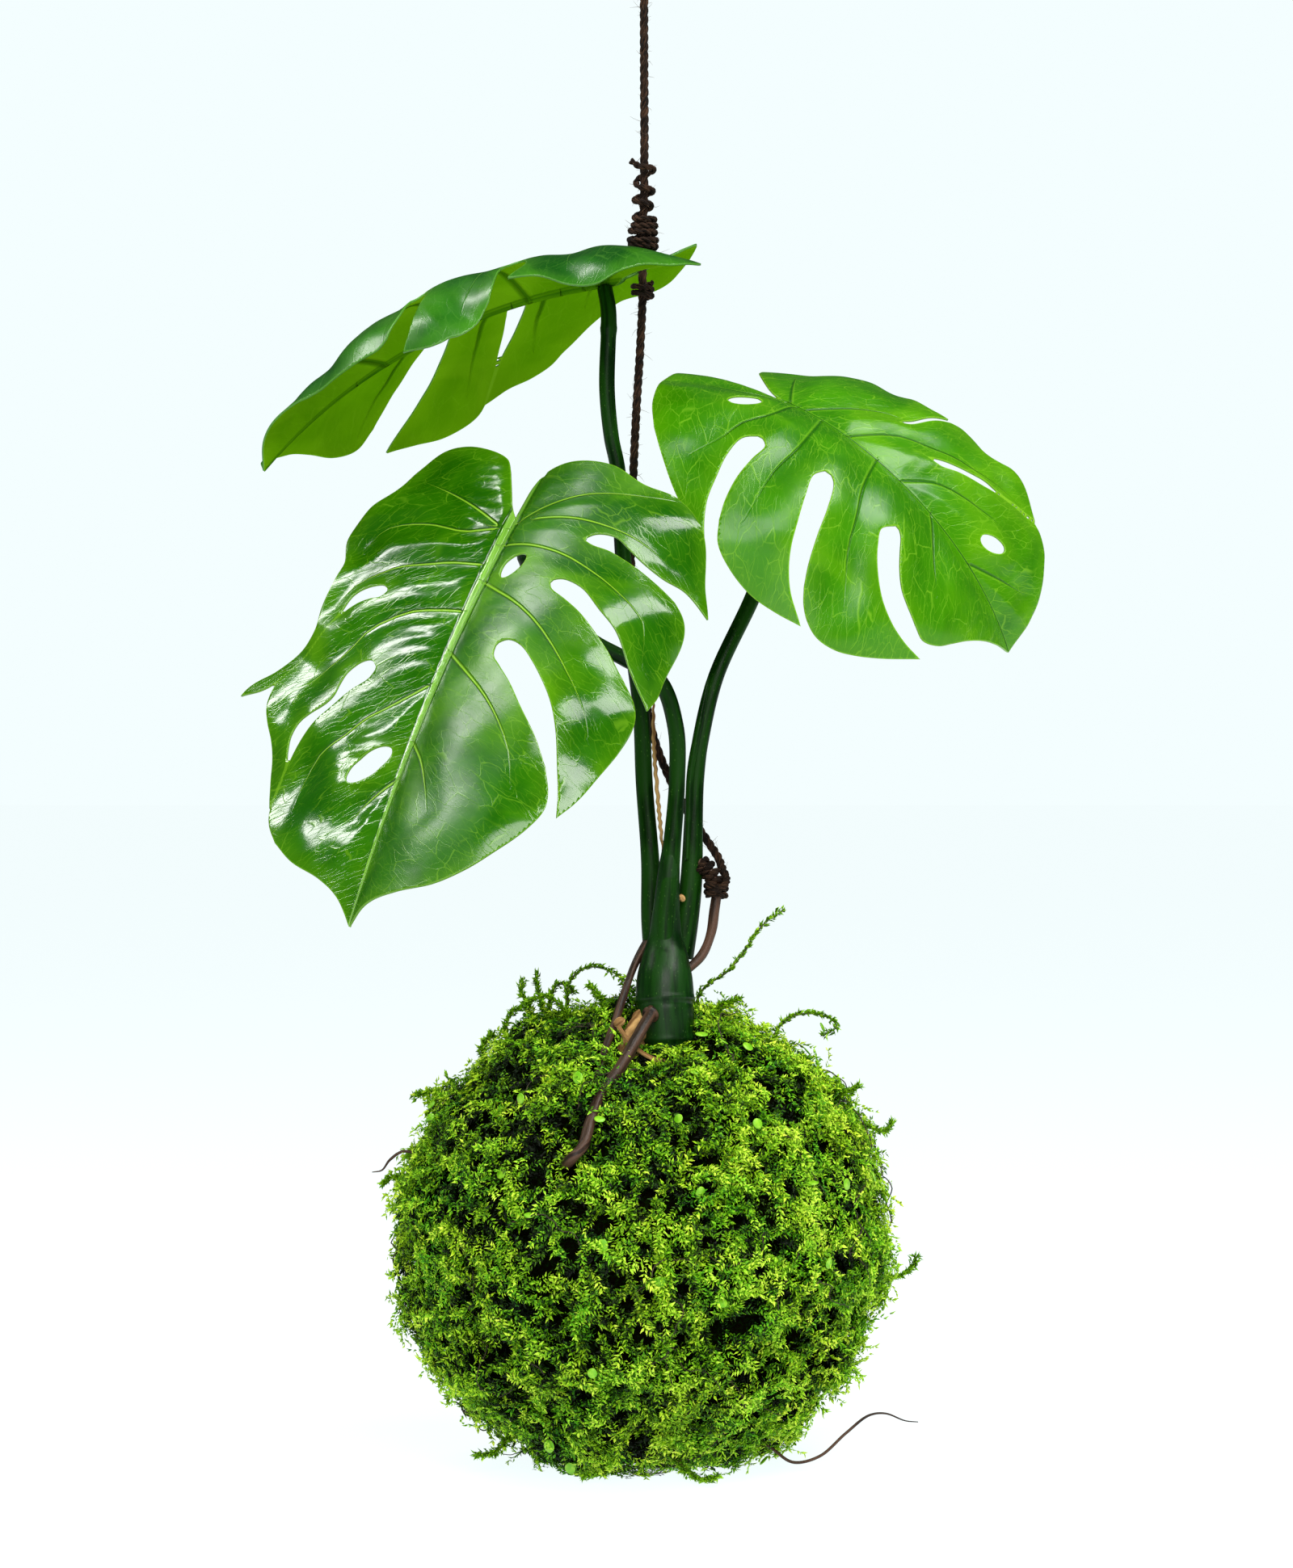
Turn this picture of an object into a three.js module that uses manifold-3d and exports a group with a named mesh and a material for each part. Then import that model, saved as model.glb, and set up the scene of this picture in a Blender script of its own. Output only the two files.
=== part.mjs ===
// Kokedama: a split-leaf plant growing out of a ball of soil that is jacketed in living moss,
// with the jute twine it is hung by. Millimetres, +Z up. The origin is the middle of the small
// flat spot that the ball rests on; +X is to the right and +Y away from whoever looks at it.
import * as THREE from 'three';
import { mergeVertices } from 'three/addons/utils/BufferGeometryUtils.js';
import Module from 'manifold-3d';

// ---------- driving dimensions ----------
const GAP = 0.3; // clearance between pieces that touch on the real plant

const BALL_RADIUS = 73; // mean radius of the moss
const BALL_CENTRE = new THREE.Vector3(0, 0, 69); // below the radius, so the underside is flattened
const BALL_WIDENING = 1.03; // how much wider than tall the ball is
const MOSS_THICKNESS = 11;
const MOSS_RELIEF = 1.9; // height of the large lumps
const MOSS_GRAIN = 1.4; // height of the small tufts
const BALL_COLUMNS = 42;
const BALL_ROWS = 21;
const GRID_SHIFT = 0.035; // radians by which the grid of the moss is unsettled
const CORE_COLUMNS = 20;
const CORE_ROWS = 10;
const SEED = 7;
const TUFT_COUNT = 40;
const TUFT_LENGTH = 9;
const WISP_RADIUS = 1.1;

const BLADE_THICKNESS = 0.7;
const MIDRIB_DEPTH = 1.0; // how far the midrib stands out under the blade at its foot
const MIDRIB_HALF_WIDTH = 2.2;
const LEAF_ROWS = 8; // from the midrib out to the margin
const PETIOLE_RADIUS = 2.6;
const PETIOLE_SIDES = 8;
const CROWN_RADIUS = 8;
const CROWN_FOOT = 105; // height of the crown's lower end, down in the soil

const TWINE_DIAMETER = 2.7;
const TWINE_SIDES = 8;
const WRAP_DIAMETER = 1.7;
const KNOT_STRAND = 0.93; // radius of the pressed twine in a knot
const TWINE_TOP = 470; // where the twine meets its hanging loop
const LOOP_RADIUS = 9;

// ---------- finishes ----------
const finish = (color, roughness) => new THREE.MeshStandardMaterial({ color, roughness, metalness: 0 });
const MOSS = finish(0x5f8f1c, 0.95);
const SOIL = finish(0x2a1c12, 1.0);
const LEAF_TOP = finish(0x2f7d1c, 0.3);
const LEAF_YOUNG = finish(0x56a31c, 0.35);
const LEAF_OLD = finish(0x4c8a22, 0.45);
const STEM = finish(0x143d24, 0.4);
const ROOT = finish(0x5a4234, 0.8);
const TAN = finish(0x9a7748, 0.85);
const TWINE = finish(0x3a2518, 0.95);

const part = new THREE.Group();

/** Add one named solid to the part. */
function addPiece(name, geometry, material) {
  const mesh = new THREE.Mesh(geometry, material);
  mesh.name = name;
  part.add(mesh);
}

// ---------- solids ----------
const wasm = await Module();
wasm.setup();

/** A closed geometry as a manifold solid. */
function toSolid(geometry) {
  const bare = geometry.clone();
  bare.deleteAttribute('normal');
  bare.deleteAttribute('uv');
  const merged = mergeVertices(bare, 1e-4);
  return new wasm.Manifold(new wasm.Mesh({
    numProp: 3,
    vertProperties: new Float32Array(merged.attributes.position.array),
    triVerts: new Uint32Array(merged.index.array),
  }));
}

/** A manifold solid as a geometry, keeping only its largest body. */
function toGeometry(solid) {
  const bodies = solid.decompose().sort((a, b) => b.volume() - a.volume());
  const mesh = bodies[0].getMesh();
  const geometry = new THREE.BufferGeometry();
  geometry.setAttribute('position', new THREE.BufferAttribute(mesh.vertProperties, mesh.numProp));
  geometry.setIndex(new THREE.BufferAttribute(mesh.triVerts, 1));
  geometry.computeVertexNormals();
  return geometry;
}

/** Geometry from a list of vertices and a list of triangles. */
function meshFrom(vertices, triangles) {
  const geometry = new THREE.BufferGeometry();
  const positions = vertices.flatMap((v) => v.toArray());
  geometry.setAttribute('position', new THREE.Float32BufferAttribute(positions, 3));
  geometry.setIndex(triangles.flat());
  geometry.computeVertexNormals();
  return geometry;
}

const vec = (x, y, z) => new THREE.Vector3(x, y, z);
const curveThrough = (points) => (
  new THREE.CatmullRomCurve3(points.map((p) => vec(...p)), false, 'centripetal'));

/** A round tube along a curve, with a radius that may change from foot to tip. */
function tube(curve, radiusAt, sides, steps) {
  const frames = curve.computeFrenetFrames(steps, false);
  const vertices = [];
  const triangles = [];
  for (let i = 0; i <= steps; i += 1) {
    const centre = curve.getPointAt(i / steps);
    const radius = typeof radiusAt === 'function' ? radiusAt(i / steps) : radiusAt;
    for (let j = 0; j < sides; j += 1) {
      const angle = (2 * Math.PI * j) / sides;
      vertices.push(centre.clone()
        .addScaledVector(frames.normals[i], radius * Math.cos(angle))
        .addScaledVector(frames.binormals[i], radius * Math.sin(angle)));
    }
  }
  for (let i = 0; i < steps; i += 1) {
    for (let j = 0; j < sides; j += 1) {
      const a = i * sides + j;
      const b = i * sides + ((j + 1) % sides);
      triangles.push([a, b, b + sides], [a, b + sides, a + sides]);
    }
  }
  const foot = vertices.push(curve.getPointAt(0)) - 1;
  const tip = vertices.push(curve.getPointAt(1)) - 1;
  const last = steps * sides;
  for (let j = 0; j < sides; j += 1) {
    const next = (j + 1) % sides;
    triangles.push([foot, next, j], [tip, last + j, last + next]);
  }
  return meshFrom(vertices, triangles);
}

/** A plain cord: a round section extruded along its route. */
function cord(curve, diameter, sides, steps) {
  const section = new THREE.Shape();
  for (let j = 0; j < sides; j += 1) {
    const angle = (2 * Math.PI * j) / sides;
    const corner = [(diameter / 2) * Math.cos(angle), (diameter / 2) * Math.sin(angle)];
    if (j === 0) section.moveTo(...corner);
    else section.lineTo(...corner);
  }
  return new THREE.ExtrudeGeometry(section, { steps, extrudePath: curve, bevelEnabled: false });
}

// ---------- leaves ----------
// A leaf is drawn flat first. u runs along the midrib from the leaf's foot, w out from the
// midrib. Each half is a row of lobes. A lobe has an edge towards the foot (near), an outer
// margin (outer) and an edge towards the tip (far); the cuts between lobes start at "inner".
// A cut with a hole carries it on the line from the midrib to its inner end.

const LEAVES = {
  leaf_a: {
    material: LEAF_OLD,
    pose: {
      foot: [-12, 11.4, 365.4], azimuth: 180, elevation: -8.6, roll: 27.8, bend: 0.0066, twist: -0.0024,
    },
    breaks: [-3, 12, 35, 126],
    columns: [7, 5, 10],
    veins: [[[0, 0], [-14, 16], [-22, 32]], [[1, 0], [2, 20], [6, 44]], [[18, 0], [22, 28], [32, 54]],
      [[38, 0], [48, 26], [66, 52]], [[62, 0], [78, 24], [92, 38]], [[88, 0], [100, 14], [108, 20]]],
    halves: [
      { side: 1, slope: -0.93, curl: 0.0196, lift: 0.007, lobes: [
        { from: 0, to: 1, near: [[-10, 3], [-17, 6.5], [-23, 10.5]],
          outer: [[-27.5, 18], [-27, 27], [-24.5, 35], [-22, 42], [-18.5, 48], [-13, 51], [-4, 51], [3, 54.5],
            [9, 59], [14, 63.5], [18.5, 68], [25, 69.8], [34, 68.8]],
          tip: [40.8, 69.6],
          far: [[23.3, 30], [24, 38], [26.2, 46], [29.5, 54], [33.2, 60.8], [37.3, 66]] },
        { from: 1, to: 2, inner: [26, 27],
          near: [[28.2, 31], [28.9, 38], [30.2, 46], [33, 54], [36, 60], [39.4, 65]],
          outer: [[43, 69.5], [48, 71.8], [57, 72.5], [66, 69]], tip: [76.5, 63.5],
          far: [[45.5, 27], [49, 40], [55, 49], [62, 57], [69, 61.5]] },
        { from: 2, to: 3, inner: [48, 24], near: [[51.5, 26], [55.5, 31], [62, 39], [70, 48.5], [77, 53]],
          outer: [[85, 53.5], [93, 49], [100, 39.5], [109, 27], [118, 15]], tip: [126, 0] },
      ] },
      { side: -1, slope: -0.265, curl: 0.035, lift: -0.0055, droop: 0.34, lobes: [
        { from: 0, to: 1, near: [[-10, 4], [-18, 7], [-25, 11]], outer: [[-31, 17], [-32, 25], [-27, 33],
          [-18, 39], [-8, 45], [3, 50], [13, 49], [22, 45]], tip: [33, 44],
        far: [[24, 31], [24.5, 35], [27, 39]] },
        { from: 1, to: 2, inner: [25, 27], near: [[29, 28], [31, 33], [34.5, 39], [38, 45], [42, 51]],
          outer: [[50, 57], [60, 60], [69, 58]], tip: [78, 52],
          far: [[54.5, 30], [58, 36], [64, 43], [70, 48]] },
        { from: 2, to: 3, inner: [56, 26], near: [[60, 27.5], [65, 33], [71.5, 38.5], [78, 42]],
          outer: [[84, 42], [90, 39.5], [96, 36], [103, 31], [111, 24], [119, 13.5]], tip: [126, 0] },
      ] },
    ],
  },
  leaf_b: {
    material: LEAF_TOP,
    pose: {
      foot: [-39, -39.3, 286.6], azimuth: -119.3, elevation: -45.7, roll: -2.1, bend: 0.0018, twist: -0.0017,
    },
    breaks: [-3, 5, 16, 26, 38, 50, 82, 147],
    columns: [7, 3, 2, 2, 2, 4, 7],
    veins: [[[0, 0], [-9, 24], [-17, 49]], [[1, 0], [2, 25], [6, 58]], [[9, 0], [22, 39], [44, 64]],
      [[24, 0], [48, 33], [79, 58]], [[52, 0], [82, 32], [102, 43]], [[86, 0], [106, 17], [114, 21]],
      [[0, 0], [-7, -16], [-17, -37]], [[1, 0], [2, -26], [12, -48]], [[17, 0], [18, -24], [34, -47]],
      [[36, 0], [44, -31], [71, -49]], [[65, 0], [83, -25], [107, -35]], [[99, 0], [108, -9], [112, -11]]],
    halves: [
      { side: -1, slope: -0.49, curl: 0.0239, lobes: [
        { from: 0, to: 1, near: [[-10, 0], [-17, 0.5], [-22.5, 4]], outer: [[-24, 14], [-23, 27], [-18.5, 39],
          [-19, 50], [-13, 58.5], [-5, 66], [5, 73]], tip: [16, 75],
        far: [[7, 34], [6, 39.5], [8.5, 45], [11, 51], [12.2, 58], [11.5, 66]] },
        { from: 1, to: 2, inner: [10.5, 31],
          near: [[12, 34.5], [12.3, 40], [13.3, 45], [14.8, 51], [17, 57.5], [20, 63.5]],
          outer: [[25, 68.5], [32, 72], [41, 73.5], [52, 72.5]], tip: [62, 70],
          far: [[27.5, 31], [29.5, 37.5], [36, 45.5], [40.5, 52.5], [45, 57.5], [51, 62.5]] },
        { from: 2, to: 4, inner: [29, 28], hole: { at: 13.3, long: 4.8, wide: 3.1 },
          near: [[32.5, 30], [35.5, 34.5], [39.5, 41], [44.5, 48], [49, 54.5], [55, 60.5]],
          outer: [[62, 65.5], [70, 68.5], [79, 68.5], [92, 65], [103, 61]], tip: [110, 57.5],
          far: [[53, 24], [54.5, 28.5], [59, 33.5], [68, 41], [77, 46.5], [88, 51.3], [99, 54.7]] },
        { from: 4, to: 7, inner: [54.5, 21],
          near: [[58.5, 21.5], [62.5, 25], [69, 31], [78, 38], [86, 44.8], [94, 50.6]],
          outer: [[102, 53.9], [109, 54.8], [117, 52], [125, 46.5], [132.5, 40], [138, 32], [140.5, 21],
            [142.5, 10]],
          tip: [147, 0] },
      ] },
      { side: 1, slope: -0.15, curl: 0.0049, lobes: [
        { from: 0, to: 3, near: [[-8, 3], [-15, 6], [-22, 9]],
          outer: [[-27, 12], [-30, 18], [-31.5, 27], [-28.5, 35], [-21, 41], [-12, 43.5], [-4, 50], [6, 55],
            [17, 53], [27, 53], [36, 54], [43, 54.5], [48, 56.5], [52.5, 59.5], [56.5, 63], [60, 67.5]],
          tip: [64.6, 70.6],
          far: [[26.5, 33], [27, 37.5], [30.3, 42], [37.3, 43.9], [45, 48], [53, 52.5], [60.5, 57.2],
            [64, 63]] },
        { from: 3, to: 5, inner: [29, 30],
          near: [[31.4, 31.4], [32.4, 35], [34, 39], [38, 42.9], [45.5, 46.9], [53.6, 51.3], [61.5, 56]],
          outer: [[66, 57.6], [71, 57.5], [76, 55.8], [82, 52.8], [89, 50.2], [97, 48.8]],
          tip: [107, 47.4],
          far: [[56, 25], [56.5, 29.3], [59.5, 32.3], [64, 33.3], [68.3, 34], [71.8, 36.5], [74.6, 40],
            [77.4, 43.3], [81.5, 45], [86.5, 45.2], [92, 44.9], [99, 45.9]] },
        { from: 5, to: 6, inner: [59, 22],
          near: [[62.3, 23.5], [66, 27.5], [71, 32], [77, 36.3], [84, 40.2], [92, 42.6]],
          outer: [[100, 43.6], [107, 43.3], [113, 41]], tip: [119, 36.5] },
        { from: 6, to: 7, closed: true, hole: { at: 16.5, long: 8, wide: 4.2 },
          outer: [[126, 27.5], [132, 15.5], [138, 7]], tip: [147, 0] },
      ] },
    ],
  },
  leaf_c: {
    material: LEAF_YOUNG,
    pose: {
      foot: [45.6, 17.9, 328.6], azimuth: -35.4, elevation: -23, roll: 40.5, bend: 0.0122, twist: -0.0026,
    },
    breaks: [-3, 4, 10, 18, 27, 37, 50, 64, 113],
    columns: [5, 3, 2, 2, 2, 3, 2, 5],
    veins: [[[0, 0], [-10, 14], [-24, 22]], [[4, 0], [7, 20], [4, 46]], [[15, 0], [21, 26], [26, 57]],
      [[36, 0], [46, 31], [61, 53]], [[60, 0], [67, 13], [76, 23]], [[0, 0], [-10, -14], [-22, -28]],
      [[5, 0], [15, -13], [26, -46]], [[22, 0], [44, -22], [66, -46]], [[46, 0], [63, -16], [90, -32]],
      [[80, 0], [96, -12], [102, -16]]],
    halves: [
      { side: 1, slope: -0.78, curl: 0.0175, lobes: [
        { from: 0, to: 1, near: [[-10, 4.5], [-19, 7], [-27, 9.5]], outer: [[-32, 14], [-30, 21], [-25, 31],
          [-18, 42]], tip: [-10, 51.5] },
        { from: 1, to: 2, closed: true, hole: { at: 21.5, long: 6, wide: 2.6 },
          outer: [[-3, 58], [5, 64.5], [13, 69]], tip: [22, 72],
          far: [[9, 36], [9.5, 44], [12, 53], [14.5, 61], [18, 67]] },
        { from: 2, to: 4, inner: [12, 32], near: [[15, 34], [15.5, 41], [16.5, 50], [18.5, 58], [21, 64]],
          outer: [[25, 69.5], [32, 72.5], [41, 73.3], [49.5, 71]], tip: [57.3, 67.4],
          far: [[30, 31], [33, 40], [36.7, 48.3], [39.6, 54], [43.2, 58.8], [48.5, 63.4]] },
        { from: 4, to: 6, inner: [31.5, 26],
          near: [[34.8, 28.2], [39, 37], [42.5, 46], [46.2, 53.5], [50, 59.3]],
          outer: [[53.5, 62.8], [57.5, 65], [62.5, 65.6], [68.5, 63.2], [73.5, 59], [79.5, 52]],
          tip: [87, 41],
          far: [[52.6, 27], [55, 31.6], [58.5, 36], [63.2, 40], [68, 42.8], [73.5, 44], [80, 43.3]] },
        { from: 6, to: 8, inner: [55, 21],
          near: [[57.5, 22.6], [60.6, 26.7], [64.2, 31.2], [68.2, 34.5], [72.5, 36.2], [78, 37.5]],
          outer: [[83, 37.6], [87.3, 33.8], [90, 28.5], [93, 22.5], [97.7, 15.3], [103.5, 8.8]],
          tip: [113, 0] },
      ] },
      { side: -1, slope: 0.25, curl: 0.012, lobes: [
        { from: 0, to: 3, near: [[-10, 3], [-18, 8], [-26, 14]],
          outer: [[-32, 22], [-34, 33], [-30, 43], [-20, 51], [-7, 56], [4, 57], [13, 52], [21, 45.5],
            [30, 42]],
          tip: [38.6, 43], far: [[29.6, 25], [31.8, 30], [34.6, 36]] },
        { from: 3, to: 5, inner: [29.5, 21.5], near: [[31.6, 24.3], [33.8, 29.3], [36.8, 35.3], [40.6, 42]],
          outer: [[45, 45.6], [50.5, 46.4], [57.5, 44], [64.5, 44.8], [70, 46.3], [76, 45.8], [82.5, 42.6]],
          tip: [88, 38.6],
          far: [[49, 20], [54.5, 24.2], [59.5, 28.2], [64.5, 30.8], [71.2, 31.7], [80, 35.2]] },
        { from: 5, to: 7, inner: [45.5, 16],
          near: [[50, 16.8], [56, 21.3], [61, 24.8], [66, 27.4], [71.8, 30.5], [80.2, 33.8], [88.6, 37.3]],
          outer: [[93, 36.6], [97.8, 33.8]], tip: [101, 29] },
        { from: 7, to: 8, closed: true, hole: { at: 20.5, long: 5.5, wide: 2.8 },
          outer: [[104.5, 23.3], [107.3, 17.8], [109, 12], [110.6, 6]], tip: [113, 0] },
      ] },
    ],
  },
};
const PUCKER = 1.3; // how far the blade swells between two veins
const PUCKER_REACH = 6; // distance from a vein at which it has mostly swollen
const MARGIN_WAVE = 1.6; // height of the slow waves at 60 mm from the midrib
const WAVE_LENGTH = 41;
const RELAX_PASSES = 30;
const DROOP_START = 62; // a half with a droop hangs more and more between these places on the midrib
const DROOP_END = 108;

/** Tangent along the midrib, upper normal and the direction across, from a leaf's pose. */
function leafAxes(pose) {
  const azimuth = THREE.MathUtils.degToRad(pose.azimuth);
  const elevation = THREE.MathUtils.degToRad(pose.elevation);
  const roll = THREE.MathUtils.degToRad(pose.roll);
  const level0 = Math.cos(elevation);
  const along = vec(level0 * Math.cos(azimuth), level0 * Math.sin(azimuth), Math.sin(elevation));
  const level = vec(0, 0, 1).addScaledVector(along, -along.z).normalize();
  const across = along.clone().cross(level);
  const normal = level.multiplyScalar(Math.cos(roll)).addScaledVector(across, Math.sin(roll));
  return { along, normal, across: along.clone().cross(normal) };
}

/** A point of the bent blade: the midrib is an arc, and each half curls away from it. */
function bladePoint(pose, half, u, w) {
  const { along, normal, across } = leafAxes(pose);
  const turn = pose.bend * u;
  const point = vec(...pose.foot)
    .addScaledVector(along, Math.sin(turn) / pose.bend)
    .addScaledVector(normal, -(1 - Math.cos(turn)) / pose.bend);
  const up = along.clone().multiplyScalar(Math.sin(turn)).addScaledVector(normal, Math.cos(turn));
  const twist = pose.twist * u;
  const out = across.clone().multiplyScalar(Math.cos(twist)).addScaledVector(up, Math.sin(twist));
  const rise = up.multiplyScalar(Math.cos(twist)).addScaledVector(across, -Math.sin(twist));
  const drooped = THREE.MathUtils.clamp((u - DROOP_START) / (DROOP_END - DROOP_START), 0, 1);
  const slope = half.slope + (half.droop ?? 0) * drooped;
  const reach = (Math.sin(slope + half.curl * w) - Math.sin(slope)) / half.curl;
  const height = (Math.cos(slope + half.curl * w) - Math.cos(slope)) / half.curl;
  return point.addScaledVector(out, half.side * reach).addScaledVector(rise, height);
}

/** Upper normal of the bent blade. */
function bladeNormal(pose, half, u, w) {
  const step = 0.5;
  const alongU = bladePoint(pose, half, u + step, w).sub(bladePoint(pose, half, u - step, w));
  const alongW = bladePoint(pose, half, u, w + step).sub(bladePoint(pose, half, u, w - step));
  return alongU.cross(alongW).multiplyScalar(-half.side).normalize();
}

/** Distance in the flat from (u, v) to the nearest vein. */
function veinDistance(veins, u, v) {
  let nearest = Math.abs(v);
  for (const vein of veins) {
    for (let i = 1; i < vein.length; i += 1) {
      const [[ax, ay], [bx, by]] = [vein[i - 1], vein[i]];
      const length2 = (bx - ax) ** 2 + (by - ay) ** 2;
      const t = THREE.MathUtils.clamp(((u - ax) * (bx - ax) + (v - ay) * (by - ay)) / length2, 0, 1);
      nearest = Math.min(nearest, Math.hypot(u - ax - t * (bx - ax), v - ay - t * (by - ay)));
    }
  }
  return nearest;
}

/** Height of the relief: swollen between the veins, waved towards the margin, lifted at the foot. */
function bladeRelief(leaf, half, u, w) {
  const distance = veinDistance(leaf.veins, u, half.side * w);
  const swelling = PUCKER * (1 - Math.exp(-((distance / PUCKER_REACH) ** 2)));
  const phase = (2 * Math.PI * (u + 0.4 * w)) / WAVE_LENGTH;
  const wave = MARGIN_WAVE * (Math.max(w, 0) / 60) ** 2 * Math.sin(phase);
  const lift = (half.lift ?? 0) * Math.min(u, 0) ** 2;
  return swelling + wave + lift;
}

/** Evenly spaced points, count + 1 of them, on a smooth curve through flat points. */
function flatCurve(points, count) {
  if (points.length === 2) {
    return Array.from({ length: count + 1 }, (_, i) => (
      points[0].map((a, k) => a + ((points[1][k] - a) * i) / count)));
  }
  const curve = new THREE.CatmullRomCurve3(points.map(([u, w]) => vec(u, w, 0)), false, 'centripetal');
  return curve.getSpacedPoints(count).map((p) => [p.x, p.y]);
}

/** The line from the midrib to a cut's inner end, with the two sides parted where it has a hole. */
function innerLine(start, end, hole, rows) {
  const length = Math.hypot(end[0] - start[0], end[1] - start[1]);
  const direction = [(end[0] - start[0]) / length, (end[1] - start[1]) / length];
  const stops = hole
    ? [[MIDRIB_HALF_WIDTH, 1], [hole.at - hole.long, 1], [hole.at + hole.long, 4], [length, rows - 6]]
    : [[MIDRIB_HALF_WIDTH, 1], [length, rows - 1]];
  const distances = [0];
  for (const [stop, count] of stops) {
    const last = distances[distances.length - 1];
    for (let i = 1; i <= count; i += 1) distances.push(last + ((stop - last) * i) / count);
  }
  const place = (parted) => distances.map((s) => {
    const inside = hole ? 1 - ((s - hole.at) / hole.long) ** 2 : 0;
    const offset = inside > 1e-6 ? parted * hole.wide * Math.sqrt(inside) : 0;
    return [
      start[0] + s * direction[0] + offset * direction[1],
      start[1] + s * direction[1] - offset * direction[0],
    ];
  });
  return { nearSide: place(-1), farSide: place(1) };
}

/** The two long sides of every lobe of one half, each a list of LEAF_ROWS + 1 flat points. */
function lobeSides(leaf, half) {
  return half.lobes.map((lobe, index) => {
    const edge = (own, open, isNear) => {
      const start = [leaf.breaks[isNear ? own.from : lobe.to], 0];
      if (own.closed) {
        const line = innerLine(start, half.lobes[index + (isNear ? -1 : 0)].tip, own.hole, LEAF_ROWS);
        return isNear ? line.farSide : line.nearSide;
      }
      const innerRows = own.hole ? 7 : 4;
      const line = innerLine(start, own.inner, own.hole, innerRows);
      const shared = isNear ? line.farSide : line.nearSide;
      return [...shared, ...flatCurve([own.inner, ...open], LEAF_ROWS - innerRows).slice(1)];
    };
    const next = half.lobes[index + 1];
    const near = index === 0
      ? flatCurve([[leaf.breaks[0], 0], ...lobe.near], LEAF_ROWS)
      : edge(lobe, lobe.near, true);
    const far = next
      ? edge(next, [...(lobe.far ?? []), lobe.tip], false)
      : Array(LEAF_ROWS + 1).fill(lobe.tip);
    return { near, far };
  });
}

/** One half of a leaf as flat quads: every lobe is blended between its four sides. */
function halfPatches(leaf, half, stations) {
  const sides = lobeSides(leaf, half);
  return half.lobes.map((lobe, index) => {
    const { near, far } = sides[index];
    const base = stations.slice(lobe.from, lobe.to).flat().map((u) => [u, 0]);
    base.push([leaf.breaks[lobe.to], 0]);
    const columns = base.length - 1;
    const outer = flatCurve([near[LEAF_ROWS], ...lobe.outer, lobe.tip], columns);
    const rows = [];
    for (let k = 0; k <= LEAF_ROWS; k += 1) {
      const s = k / LEAF_ROWS;
      rows.push(base.map((_, m) => {
        const t = m / columns;
        return [0, 1].map((axis) => (1 - t) * near[k][axis] + t * far[k][axis]
          + (1 - s) * base[m][axis] + s * outer[m][axis]
          - (1 - t) * (1 - s) * near[0][axis] - t * (1 - s) * far[0][axis]
          - (1 - t) * s * near[LEAF_ROWS][axis] - t * s * far[LEAF_ROWS][axis]);
      }));
    }
    return relax(rows);
  });
}

/** Move the inner points of a flat grid until its cells are smooth and none is folded over. */
function relax(rows) {
  const axes = [0, 1];
  for (let pass = 0; pass < RELAX_PASSES; pass += 1) {
    for (let k = 1; k + 1 < rows.length; k += 1) {
      for (let m = 1; m + 1 < rows[k].length; m += 1) {
        const [west, east, south, north] = [rows[k][m - 1], rows[k][m + 1], rows[k - 1][m], rows[k + 1][m]];
        const twist = (axis) => rows[k + 1][m + 1][axis] - rows[k + 1][m - 1][axis]
          - rows[k - 1][m + 1][axis] + rows[k - 1][m - 1][axis];
        const acrossRow = axes.map((axis) => east[axis] - west[axis]);
        const acrossColumn = axes.map((axis) => north[axis] - south[axis]);
        const alpha = acrossColumn[0] ** 2 + acrossColumn[1] ** 2 + 1e-6;
        const gamma = acrossRow[0] ** 2 + acrossRow[1] ** 2 + 1e-6;
        const beta = acrossRow[0] * acrossColumn[0] + acrossRow[1] * acrossColumn[1];
        rows[k][m] = axes.map((axis) => (alpha * (east[axis] + west[axis])
          + gamma * (north[axis] + south[axis]) - (beta / 2) * twist(axis)) / (2 * (alpha + gamma)));
      }
    }
  }
  return rows;
}

/** Signed area of a flat triangle. */
function flatArea(p, q, r) {
  return ((q[0] - p[0]) * (r[1] - p[1]) - (q[1] - p[1]) * (r[0] - p[0])) / 2;
}

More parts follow.
